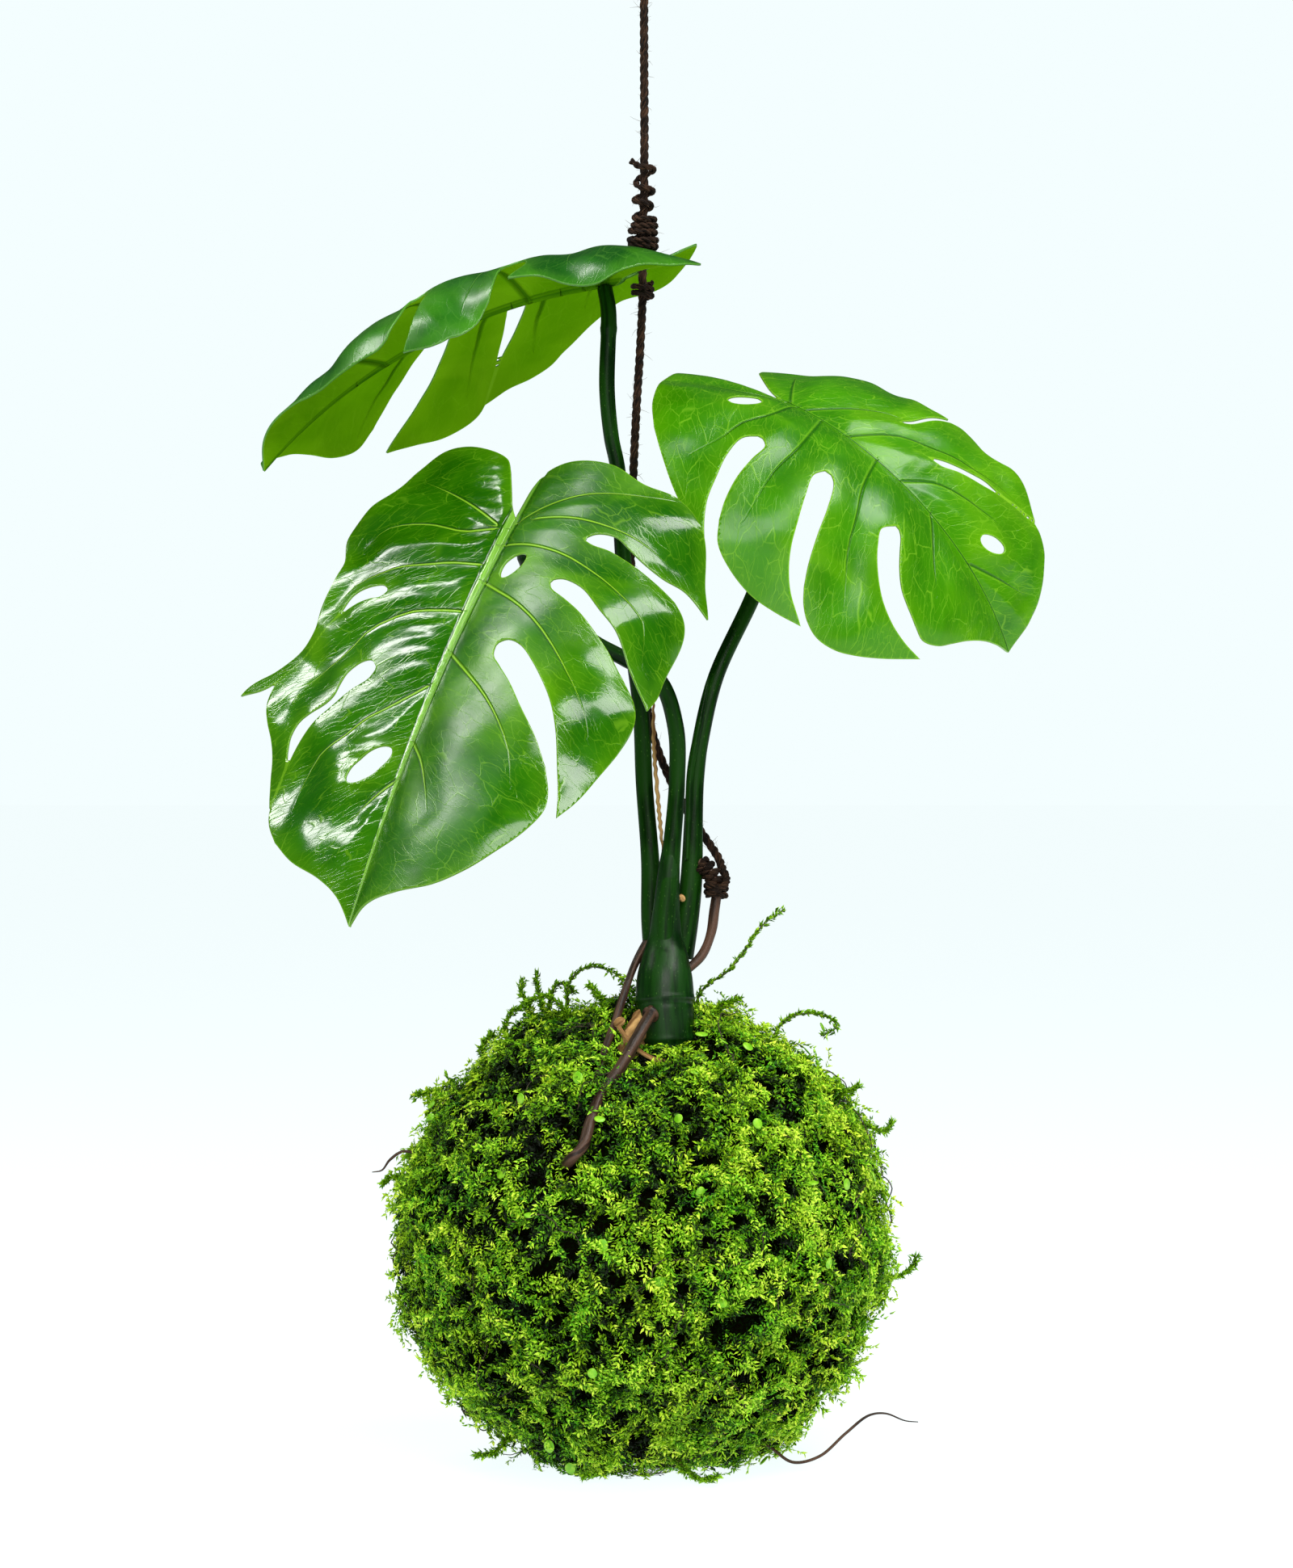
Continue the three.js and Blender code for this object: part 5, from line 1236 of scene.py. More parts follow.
@dataclass
class StemBase:
    """Crown, piece of old stem, sheaths and scars: everything between the moss and the stalks."""

    crown_route: tuple[Point, ...] = (
        (8, -20, 105), (7.8, -21, 122), (7.4, -21, 134), (6.8, -19.5, 146), (7, -15.5, 158),
        (7.3, -15.4, 170), (8.2, -15.2, 184), (9.4, -14.2, 196),
    )
    crown_radii: tuple[Flat, ...] = (
        (105, 6), (118, 7.4), (129, 8.0), (137, 8.6), (145, 9.0), (150.5, 8.5), (157, 7.0), (163, 5.0),
        (170, 4.1), (177, 3.6), (184, 3.2), (190, 2.6), (196, 1.8),
    )
    crown_rings: tuple[Flat, ...] = ((143.5, 0.35), (132.0, 0.3), (124.5, 0.3))
    old_route: tuple[Point, ...] = ((2, -22.5, 139), (-3.2, -25, 132), (-6.5, -28, 121))
    sheath_route: tuple[Point, ...] = (
        (13.6, -9, 186), (14.3, -6.4, 200), (15, -4.8, 214), (17.6, -3.4, 228), (20.6, -0.6, 243.5),
    )
    dry_route: tuple[Point, ...] = (
        (3.4, 0.9, 237), (3.5, 0.4, 222), (4.4, -0.6, 209.5), (5.4, -2.6, 198), (6.5, -4.8, 187),
    )
    scar_patches: tuple[tuple[Point, Point, float], ...] = (
        ((12.8, -12.4, 173.5), (11.4, -13.6, 175.5), 1.0), ((-8.5, -29.4, 136.2), (-5.4, -29.2, 138.5), 1.5),
        ((-9.4, -27.4, 127), (-6.4, -29.6, 126), 1.1), ((3.0, -24.6, 142.4), (3.6, -26.0, 141.2), 2.5),
    )

    def crown(self) -> None:
        """The crown flares out of the front stalk and carries rings where old leaves sat.

        Its radius follows the given heights, smoothed over a few steps. Each ring is a bell with
        a shallower one taken off below it.
        """
        path = smooth_path(self.crown_route, 260)
        z = path[:, 2]
        radius = np.interp(z, *np.array(self.crown_radii).T)
        kernel = np.hanning(17)
        radius = np.convolve(np.pad(radius, 7, mode="edge"), kernel[1:-1] / kernel.sum(), mode="valid")
        for height, depth in self.crown_rings:
            radius = radius + depth * (bell(z - height, 0.8) - 0.8 * bell(z - height + 1.6, 1.0))

        def grooves(along: Array, angle: Array) -> Array:
            """Low lengthwise folds that fade upwards."""
            return 0.05 * np.sin(7 * angle + 0.6) * np.exp(-along / 40) + 0.1 * np.sin(2 * angle + along / 14)

        surface = rod(path, radius, 48, AWAY, ripple=grooves)
        write_piece("stem_crown", surface, [CROWN_GREEN.make()], ["crown"])

    def old_stem(self) -> None:
        """A short cut piece of old stem, ragged and tan."""
        path = smooth_path(self.old_route, 60)

        def ragged(along: Array, angle: Array) -> Array:
            """Coarse folds and torn rings."""
            torn = 0.35 * np.sin(5 * angle - along) * np.sin(along / 1.7)
            return 0.45 * np.sin(3 * angle + along / 3) + torn

        surface = rod(path, profile([(0, 3.4), (0.5, 3.7), (1, 2.9)], len(path)), 26, AWAY, ripple=ragged)
        write_piece("stem_old_piece", surface, [DRY_TAN.make()], ["old_stem"])

    def sheaths(self) -> None:
        """The pointed free sheath of the right stalk and the dry strip on the left one."""
        path = smooth_path(self.sheath_route, 80)
        radius = profile([(0, 0.7), (0.3, 1.6), (0.7, 1.5), (0.93, 0.9), (1, 0.15)], len(path))
        flap = rod(path, radius, 18, AWAY, squeeze=0.8)
        write_piece("stem_sheath", flap, [STEM_GREEN.make()])

        def torn(along: Array, angle: Array) -> Array:
            """A torn edge."""
            return 0.16 * np.sin(along * 1.9 + 2 * np.sin(along / 3)) * np.cos(angle)

        strip = smooth_path(self.dry_route, 120)
        radius = profile([(0, 0.25), (0.2, 0.62), (0.8, 0.62), (1, 0.3)], len(strip))
        dry = rod(strip, radius, 14, (1, 0, 0), squeeze=0.55, ripple=torn)
        write_piece("stem_dry_strip", dry, [DRY_TAN.make()], ["dry_sheath"])

    def scars(self) -> None:
        """Small tan patches where old leaves and sheaths were torn off."""
        lumps = [
            rod(smooth_path([start, end], 10), size * dome(11, 0.02), 14, (0.3, 0.2, 1))
            for start, end, size in self.scar_patches
        ]
        write_piece("stem_scars", join_all(lumps), [DRY_TAN.make()])

    def build(self) -> None:
        """Make every piece of the base."""
        self.crown()
        self.old_stem()
        self.sheaths()
        self.scars()


@dataclass
class Roots:
    """The aerial roots, the thin tan one and the two fine dark ones."""

    thick: tuple[tuple[str, float, Point, tuple[Point, ...]], ...] = (
        ("root_1", 1.9, (0.2, 0.3, 1), (
            (4, -24, 142), (1, -33, 137.5), (-6.2, -46.5, 125.5), (-12.5, -55.5, 116.8), (-15.5, -61.5, 109),
            (-17.5, -66.3, 103), (-20.2, -67.6, 100), (-22.4, -63, 97.5))),
        ("root_2", 1.25, (0.2, 0.3, 1), (
            (1.4, -12.5, 161), (-2.4, -16, 154), (-5.4, -20, 146), (-8.4, -27, 137), (-11.2, -36.5, 129.5),
            (-13.8, -49, 119.5))),
        ("root_3", 1.6, AWAY, (
            (14.6, -5.2, 186.5), (17.8, -7.4, 185), (21.3, -8.7, 181.5), (22.7, -9.5, 177), (22, -10, 170),
            (21, -11, 163.5), (18.2, -13.5, 157), (12.5, -16, 151.5))),
    )
    collar: tuple[Point, ...] = ((2.9, -28.2, 140.2), (2.0, -30.2, 139.1))
    thin: tuple[Point, ...] = (
        (-7.2, -30.2, 136), (-3.2, -33, 130.8), (2.5, -35, 127), (8.8, -35, 125.2), (13, -33, 121),
    )
    fine: tuple[tuple[str, tuple[Point, ...]], ...] = (
        ("fine_root_left", (
            (-60, -8, 90), (-68, -9, 95.2), (-73.5, -9.5, 96.5), (-77.5, -10, 94), (-80, -10, 90.8),
            (-83, -10, 90.2))),
        ("fine_root_right", (
            (30, -12, 14), (40, -16, 6), (46, -18, 2.4), (54, -19, 4.4), (62, -19.5, 11.5), (69, -20, 17),
            (74, -20, 17.6), (80, -20, 15.4), (84, -20, 15))),
    )

    def build(self) -> None:
        """Make every root: rods that thin slowly, with knobs and shallow ribs, and root 1's collar."""

        def knobs(along: Array, angle: Array) -> Array:
            """Uneven swellings along the root and ribs that follow it."""
            return 0.07 * np.sin(along / 2.7 + np.sin(along / 5)) + 0.05 * np.sin(4 * angle + along / 12)

        brown, tan = ROOT_BROWN.make(), DRY_TAN.make()
        for name, radius, reference, route in self.thick:
            path = smooth_path(route, 160)
            size = radius * (1 - 0.15 * np.linspace(0, 1, len(path)))
            surface = rod(path, size, 20, reference, ripple=knobs)
            write_piece(f"aerial_{name}", surface, [brown], [name])
        collar = rod(smooth_path(self.collar, 12), 2.7 * dome(13, 0.05), 20, (0.2, 0.3, 1))
        write_piece("root_collar", collar, [brown])
        thin = rod(smooth_path(self.thin, 70), 0.7, 12, (0, 0.3, 1))
        write_piece("aerial_thin_root", thin, [tan], ["thin_root"])
        for name, route in self.fine:
            path = smooth_path(route, 120)
            piece = rod(path, profile([(0, 0.5), (0.7, 0.45), (1, 0.15)], len(path)), 8, AWAY)
            write_piece(f"wiry_{name}", piece, [brown], [name])


# ---------------------------------------------------------------- moss ball


@dataclass(frozen=True)
class SprayLayer:
    """One layer of sprays: their number, steps, heights over the moss, and painted light at foot and tip,
    with the inner layers painted darker as shade.
    """

    count: int
    steps: int
    low: float
    high: float
    foot_painted_shade: float
    tip_painted_light: float


@dataclass
class MossBall:
    """The moss: a dark bed, partly painted shade deep in the moss, feathery sprays over it, wisps, bare
    threads and small round leaves.

    Gaps holds the large dark gaps of the side that the photograph shows: place, width and depth.
    """

    radius: float = 73.0
    centre: Point = (0.0, 0.0, 69.0)
    widening: float = 1.03
    relief: float = 1.9
    hollow: tuple[Point, float, float] = ((5, -33, 132), 15.0, 7.0)
    gaps: tuple[tuple[float, float, float, float], ...] = (
        (-26, 52, 8, 6), (-11, 47, 6, 5), (47, 42, 8, 6), (40, 36, 6, 5), (-44, 39, 7, 5), (-38, 26, 7, 5),
        (13, 102, 9, 6), (8, 91, 7, 5), (-16, 104, 6, 4),
    )
    wisps: tuple[tuple[Point, ...], ...] = (
        ((14, 4, 134), (19, 3, 146), (26, 2, 151), (30.5, 2, 156), (34.2, 1, 161.8), (38.5, 0, 167),
         (43.2, 0, 170)),
        ((38, -4, 127), (44, -4, 136.5), (51, -4, 138.6), (57.2, -4, 137.4), (59.8, -4, 134.6),
         (56, -4, 131.8)),
        ((54, -6, 113), (58, -6, 115.6), (62.5, -6, 114.2), (66.2, -6, 116.5)),
        ((68, -4, 56), (74.2, -4, 57.2), (79.2, -4, 58), (83, -4, 60.4), (84.4, -4, 63.4)),
        ((-23, 2, 136), (-22.6, 0, 148), (-17.2, -1, 152.6), (-12.5, -1, 152.4), (-7.5, -2, 150),
         (-5.2, -3, 145.6)),
        ((-29, 6, 130), (-28.6, 6, 142), (-26.8, 6, 146.6), (-24, 6, 147), (-21.6, 6, 144.6)),
        ((-33.5, 0, 128), (-35.4, 0, 141), (-37.6, 0, 145), (-36.6, 0, 148.2)),
        ((-46, 0, 121), (-49.4, 0, 126), (-48.6, 0, 129), (-46.4, 0, 131.6)),
        ((-20, -6, 132), (-24, -8, 140), (-30, -8, 144), (-35, -7, 142)),
        ((-14, -8, 134), (-12, -9, 142), (-16, -9, 147)),
        ((-38, -4, 124), (-42, -5, 133), (-40, -5, 139), (-35, -4, 141)),
        ((-26, 4, 132), (-31, 4, 140), (-33, 4, 150)),
        ((-58, -2, 108), (-64, -2, 114), (-70, -2, 113)),
        ((62, -3, 100), (68, -3, 104), (74, -3, 102), (77, -3, 105)),
        ((-70, -3, 84), (-76, -3, 88), (-80, -3, 86)), ((20, -8, 134), (24, -9, 141), (30, -9, 143)),
        ((-40, -20, 12), (-44, -24, 7), (-50, -26, 6)), ((-8, -32, 6), (-12, -40, 3), (-18, -44, 3)),
        ((10, -34, 6), (15, -42, 2.6), (19, -47, 2.2), (22, -50, 3.4)),
    )
    disc_pixels: tuple[Flat, ...] = (
        (742, 1386), (868, 1281), (895, 1290), (925, 1296), (860, 1327), (937, 1391), (840, 1385),
        (866, 1476), (1006, 1465), (1047, 1466), (655, 1505), (621, 1452), (570, 1390), (645, 1360),
        (675, 1370), (746, 1541), (1006, 1587), (816, 1587), (893, 1613), (680, 1790), (1025, 1564),
        (1017, 1272),
    )
    layers: tuple[SprayLayer, ...] = (
        SprayLayer(760, 30, -5.2, -2.6, 0.10, 0.24), SprayLayer(760, 30, -4.0, -1.2, 0.22, 0.42),
        SprayLayer(760, 30, -3.0, -0.2, 0.38, 0.60), SprayLayer(1500, 15, -2.6, 0.4, 0.50, 0.80),
        SprayLayer(1500, 15, -2.0, 0.9, 0.62, 0.94), SprayLayer(1500, 15, -1.6, 1.4, 0.68, 1.0),
    )
    uneven_from: int = 4
    hole_count: int = 960
    hole_radii: Flat = (0.8, 4.0)
    ridge: float = 3.2
    step: float = 0.92
    leaflet: float = 1.75
    bed_below: float = 5.4
    bed_rows: int = 109
    bed_columns: int = 220
    thread_count: int = 90
    back_discs: int = 40
    lowest: float = 0.05
    seed: int = 11

    def reach(self, direction: Array) -> Array:
        """Radius of the moss in given directions.

        A slightly widened ball, with lumps from products of sines, gaps and the hollow round
        the crown taken out as bell-shaped dips.
        """
        x, y, z = direction.T
        lumps = np.sin(11 * x + 2.3 * np.sin(7 * z) + 0.7) * np.sin(10 * y + 1.9)
        lumps = lumps + 0.7 * np.sin(13 * z + 2.1 * np.sin(8 * x) + 1.1)
        widened = np.sqrt((x * self.widening) ** 2 + (y * self.widening) ** 2 + z**2)
        radius = self.radius * widened + self.relief * lumps
        place = direction * radius[:, None] + self.centre
        for gap_x, gap_z, size, depth in self.gaps:
            away = (place[:, 0] - gap_x) ** 2 + (place[:, 2] - gap_z) ** 2
            radius = radius - np.where(y < 0, depth * np.exp(-away / size**2), 0)
        at, size, depth = self.hollow
        away = ((place - at) ** 2).sum(1)
        return radius - depth * np.exp(-away / size**2)

    def settled(self, points: Array) -> Array:
        """Press points up to the surface that the ball rests on."""
        out = points.copy()
        out[..., 2] = np.maximum(out[..., 2], self.lowest)
        return out

    def bed(self) -> None:
        """The dark bed under the sprays, partly matted moss and partly painted shade: a ball a little inside
        the moss, rough all over.
        """
        rows, columns = self.bed_rows, self.bed_columns
        polar = np.linspace(0, math.pi, rows + 2)[1:-1, None]
        angle = (TAU * np.arange(columns) / columns)[None, :]
        x, y, z = np.sin(polar) * np.cos(angle), np.sin(polar) * np.sin(angle), -np.cos(polar) + 0 * angle
        direction = np.concatenate([np.stack([x, y, z], -1).reshape(-1, 3), [[0, 0, -1], [0, 0, 1]]])
        dx, dy, dz = direction.T
        crumb = np.sin(41 * dx + 3 * np.sin(29 * dz)) * np.sin(37 * dy + 2 * np.sin(31 * dx))
        crumb = crumb * np.sin(43 * dz)
        radius = self.reach(direction) - self.bed_below + 1.1 * crumb
        vertices = self.settled(direction * radius[:, None] + self.centre)
        surface = Surface(vertices, [grid_faces(rows, columns), *end_caps(rows, columns)])
        write_piece("moss_bed_painted_shade", surface, [ShadedBedFinish().make()], ["moss_jacket"])

    def holes(self) -> tuple[Array, Array]:
        """Places and sizes of the dark holes that the sprays leave between them.

        They lie on a spiral that covers the ball evenly, each moved at random; the large ones
        are where the photograph shows them, four to a gap.

        Returns:
            Directions from the ball's centre, and radii in millimetres.
        """
        rng = np.random.default_rng(self.seed + 7)
        k = np.arange(self.hole_count) + 0.5
        height = 1 - 2 * k / self.hole_count
        turn = k * math.pi * (3 - math.sqrt(5))
        level = np.sqrt(1 - height**2)
        spread = np.stack([level * np.cos(turn), level * np.sin(turn), height], 1)
        spread = unit(spread + rng.normal(0, 0.05, spread.shape))
        gap_x, gap_z, size, _ = np.repeat(np.asarray(self.gaps), 4, axis=0).T
        x = gap_x + rng.normal(0, 0.35, len(size)) * size
        z = gap_z - self.centre[2] + rng.normal(0, 0.25, len(size)) * size
        large = np.stack([x, -np.sqrt(np.maximum(self.radius**2 - x**2 - z**2, 1)), z], 1)
        radii = [rng.uniform(*self.hole_radii, len(spread)), size * rng.uniform(0.3, 0.55, len(size))]
        return np.concatenate([spread, unit(large)]), np.concatenate(radii)

    def wander(
        self, rng: np.random.Generator, count: int, steps: int, level: Array, rise: Array
    ) -> tuple[Array, Array]:
        """Let sprays wander over the ball, round the holes.

        Each starts at a random place and takes equal steps in a direction that turns at random
        in the ball's tangent plane. Wherever it comes into a hole it is pushed out to the hole's
        edge. Its height over the moss runs from level, by rise, and is greater between holes.

        Args:
            rng: the random source.
            count: how many sprays.
            steps: how many steps each takes.
            level: height over the moss at which each starts.
            rise: how much it gains by its tip.

        Returns:
            Points, by spray and step, and how far each lies from the nearest hole's edge.
        """
        centres, radii = self.holes()
        normal = unit(rng.normal(size=(count, 3)))
        heading = unit(np.cross(normal, rng.normal(size=(count, 3))))
        points, clear = np.empty((count, steps, 3)), np.empty((count, steps))
        for k in range(steps):
            share = k / (steps - 1)
            side = np.cross(normal, heading)
            heading = unit(heading + 0.3 * rng.normal(size=(count, 1)) * side + np.array([0, 0, -0.04]))
            normal = unit(normal + heading * self.step / self.radius)
            depth = radii - self.radius * np.sqrt(np.maximum(2 - 2 * normal @ centres.T, 0))
            worst = depth.argmax(1)
            inside_by = depth[np.arange(count), worst]
            away = unit(normal - centres[worst])
            normal = unit(normal + away * np.maximum(inside_by, 0)[:, None] / self.radius)
            clear[:, k] = np.maximum(-inside_by, 0)
            ridge = 1 - np.exp(-clear[:, k] / 2.2)
            height = self.reach(normal) + level + rise * share**2 + self.ridge * (ridge - 0.6)
            heading = unit(heading - normal * (heading * normal).sum(1, keepdims=True))
            points[:, k] = normal * height[:, None] + self.centre
        return points, clear

    def leaflets(
        self, rng: np.random.Generator, points: Array, tint_and_painted_light: Array, hue: Array, per_step: int = 2
    ) -> Surface:
        """Set small pointed leaves along sprays.

        A leaflet has four corners: its foot on the spray, two sides at two fifths of its length
        and its tip. They stand off the spray to either side and a little outwards.

        Args:
            rng: the random source.
            points: points by spray and step.
            tint_and_painted_light: lightness from 0 to 1 at each point.
            hue: yellowness from 0 to 1 at each point.
            per_step: leaflets at each point.

        Returns:
            The leaflets as closed four-cornered solids.
        """
        along = unit(np.gradient(points, axis=1)).repeat(per_step, axis=1).reshape(-1, 3)
        foot = points.repeat(per_step, axis=1).reshape(-1, 3)
        shade, yellow = (values.repeat(per_step, axis=1).ravel() for values in (tint_and_painted_light, hue))
        outward = unit(foot - self.centre)
        side = np.cross(outward, along)
        count = len(foot)
        sign = np.where(np.arange(count) % 2, 1.0, -1.0)[:, None]
        spread = rng.uniform(0.5, 1.5, (count, 1)) * sign
        lift = rng.uniform(-0.2, 1.1, (count, 1))
        way = unit(0.7 * along + spread * side + lift * outward)
        length = self.leaflet * rng.uniform(0.5, 1.45, (count, 1))
        flat = unit(np.cross(way, outward + 0.8 * rng.normal(size=(count, 3))))
        bow = np.cross(flat, way) * length * 0.12
        middle = foot + way * length * 0.42 + bow
        half = flat * length * rng.uniform(0.14, 0.22, (count, 1))
        corners = np.stack([foot, middle - half, foot + way * length - bow, middle + half], 1)
        corners = self.settled(corners.reshape(-1, 3))
        base = (4 * np.arange(count))[:, None]
        faces = np.concatenate([base + np.array([f]) for f in ((0, 1, 3), (1, 2, 3), (0, 2, 1), (0, 3, 2))])
        # Painted light: leaflets that lift outwards are lighter; each leaflet is painted darker at its foot,
        # as shade, and lighter at its tip.
        shade = np.clip(shade + rng.normal(0, 0.1, count) + 0.1 * (lift[:, 0] - 0.4), 0, 1)
        shades = np.stack([shade * 0.55, shade * 0.95, np.minimum(shade * 1.15 + 0.05, 1), shade * 0.95], 1)
        return Surface(corners, [faces], {"tint_and_painted_light": shades.ravel(), "hue": np.clip(yellow, 0, 1).repeat(4)})

    def spray_layers(self) -> None:
        """The feathery sprays, in layers from the dark inner ones to the lit outer ones.

        Their painted light grows towards the tip, and painted shade darkens them beside a hole. On the side
        that faces the camera the painted light is a little greater at the right and less in a patch at the
        left below the middle, where it is partly painted shadow under the leaves and partly darker bare
        ground.
        """
        rng = np.random.default_rng(self.seed)
        finish = MossFinish().make()
        for index, layer in enumerate(self.layers):
            count = layer.count
            level = rng.uniform(layer.low, layer.high, count)
            rise = rng.uniform(-0.6, 2.6 + 0.5 * index, count)
            if index >= self.uneven_from:
                rise = rise * rng.uniform(0.6, 1.5, count)
            points, clear = self.wander(rng, count, layer.steps, level, rise)
            share = np.linspace(0, 1, layer.steps) ** 2
            # Painted light and shade: each spray runs from its layer's painted shade at the foot to its
            # painted light at the tip.
            shade = layer.foot_painted_shade + (layer.tip_painted_light - layer.foot_painted_shade) * share
            # Random tone, and painted shade beside each hole.
            shade = shade + 0.11 * rng.normal(size=(count, 1)) - 0.36 * np.exp(-clear / 1.3)
            x, y, z = np.moveaxis(points - self.centre, -1, 0)
            # Painted light: a little lighter towards the right on the side that faces the camera.
            shade = shade + 0.12 * np.clip(x / 60, -0.2, 1) * (y < 0)
            # A darker patch at the left on the side that faces the camera: partly painted shadow under the
            # leaves, partly darker bare ground.
            shade = shade - 0.15 * (y < 0) * np.exp(-(((x + 12) / 38) ** 2) - ((z - 50) / 20) ** 2)
            drift = np.sin(x / 9 + 2 * np.sin(z / 13)) * np.sin(y / 11 + z / 8)
            hue = 0.34 + 0.2 * drift + 0.2 * rng.normal(size=(count, 1)) + 0.25 * share
            sprays = self.leaflets(rng, points, shade, hue)
            write_piece(f"moss_sprays_{index + 1}", sprays, [finish], smooth=False)

    def long_wisps(self) -> None:
        """The wisps that stand out of the ball: a thin stem with leaflets all along it."""
        rng = np.random.default_rng(self.seed + 1)
        stems, leaves = [], []
        for route in self.wisps:
            path = smooth_path(route, 46)
            stems.append(rod(path, profile([(0, 0.5), (1, 0.16)], len(path)), 6, AWAY))
            points = np.stack([path + rng.normal(0, 0.35, path.shape) for _ in range(3)])
            even = np.full(points.shape[:2], 0.5)
            leaves.append(self.leaflets(rng, points, even, even, 3))
        stem_finish = PlainFinish("wisp_stem", (40, 48, 14), (92, 104, 30))
        write_piece("moss_wisp_stems", join_all(stems), [stem_finish.make()])
        leaf_finish = MossFinish("moss_wisp_leaflets")
        write_piece("moss_wisps", join_all(leaves), [leaf_finish.make()], smooth=False)

    def threads(self) -> None:
        """Bare dark threads that lie over the moss and stand a little off it."""
        rng = np.random.default_rng(self.seed + 2)
        count, steps = self.thread_count, 34
        level, rise = rng.uniform(-1.0, 2.0, count), rng.uniform(-1.0, 3.5, count)
        routes, _ = self.wander(rng, count, steps, level, rise)
        radius = profile([(0, 0.26), (1, 0.12)], steps)
        rods = [
            rod(self.settled(path) + (0, 0, 0.3), radius, 5, tuple(path[0] - self.centre)) for path in routes
        ]
        finish = PlainFinish("thread", (22, 17, 9), (74, 60, 34))
        write_piece("moss_threads", join_all(rods), [finish.make()])

    def on_ball(self, pixels: Sequence[Flat], off: float) -> Array:
        """Find the points of the ball that pixels of the photograph show.

        A ray runs from the camera through the pixel; its first crossing with a sphere of the
        moss's radius plus off is where the sum of squares of the distances matches.
        """
        px, py = np.asarray(pixels, float).T
        right, up = (px - IMAGE_WIDTH / 2) * VIEW.pixel, (IMAGE_HEIGHT / 2 - py) * VIEW.pixel
        eye = np.array([VIEW.x, -VIEW.distance, VIEW.z])
        way = unit(np.stack([right, np.full_like(px, VIEW.distance), up], 1))
        gap = eye - np.asarray(self.centre)
        b = (way * gap).sum(1)
        c = gap @ gap - (self.radius + off) ** 2
        return eye + way * (-b - np.sqrt(np.maximum(b * b - c, 0)))[:, None]

    def round_leaves(self) -> None:
        """Tiny round bright leaves: shallow domed discs a few millimetres across."""
        rng = np.random.default_rng(self.seed + 3)
        front = self.on_ball(self.disc_pixels, 3.0)
        normal = unit(rng.normal(size=(self.back_discs, 3)) * (1, 1, 0.8) + (0, 0.8, 0))
        others = normal * (self.reach(normal) + 2.5)[:, None] + self.centre
        heights, radii = (0.0, 0.12, 0.3, 0.42), np.array([0.6, 0.97, 1.0, 0.86])
        discs = []
        for place in np.concatenate([front, others]):
            out = unit(unit(place - self.centre) + 0.35 * rng.normal(size=3))
            path = np.stack([place + out * height for height in heights])
            size = rng.uniform(1.5, 2.1)
            across = tuple(np.roll(out, 1) + (0.1, 0.2, 0.3))
            discs.append(rod(path, radii * size, 14, across, squeeze=rng.uniform(0.75, 1.0)))
        whole = join_all(discs)
        whole.vertices = self.settled(whole.vertices)
        finish = PlainFinish("round_leaf", (112, 186, 14), (160, 216, 48), 0.4, 0.5)
        write_piece("moss_round_leaves", whole, [finish.make()])

    def build(self) -> None:
        """Make the bed and everything that grows on it."""
        self.bed()
        self.spray_layers()
        self.long_wisps()
        self.threads()
        self.round_leaves()


# ---------------------------------------------------------------- twine


@dataclass(frozen=True)
class Lay:
    """How plies are twisted: how many, the length of a full turn, and the sides of each."""

    count: int
    pitch: float
    sides: int


TWINE_LAY, STRAND_LAY, KNOT_LAY, TUCKED_LAY = Lay(3, 8.5, 8), Lay(2, 4.5, 7), Lay(2, 5, 7), Lay(3, 6, 7)


@dataclass(frozen=True)
class Knot:
    """A knot as a strand wound down round a point: radius, height, turns and the strand's radius."""

    at: Point
    radius: float
    height: float
    turns: float
    strand: float

    def helix(self) -> Array:
        """A helix going down round the point: cosine and sine of the angle across, evenly down."""
        angle = np.linspace(0, TAU * self.turns, int(self.turns * 30) + 1)
        drop = self.height * (0.5 - np.linspace(0, 1, len(angle)))
        x, y = self.at[0] + self.radius * np.cos(angle), self.at[1] + self.radius * np.sin(angle)
        return np.stack([x, y, self.at[2] + drop], 1)


def plies(path: Array, radius: float, lay: Lay, reference: Point) -> Surface:
    """Twist several plies round a path.

    Each ply's middle is the path's point moved 0.46 of the radius sideways, at an angle that
    grows by a full turn for each pitch of length; its own radius is 0.56 of the whole.
    """
    first, second = path_frame(path, reference)
    along = lengths_along(path)
    strands = []
    for ply in range(lay.count):
        angle = (TAU * (along / lay.pitch + ply / lay.count))[:, None]
        middle = path + 0.46 * radius * (first * np.cos(angle) + second * np.sin(angle))
        strands.append(rod(middle, 0.56 * radius, lay.sides, reference))
    return join_all(strands)


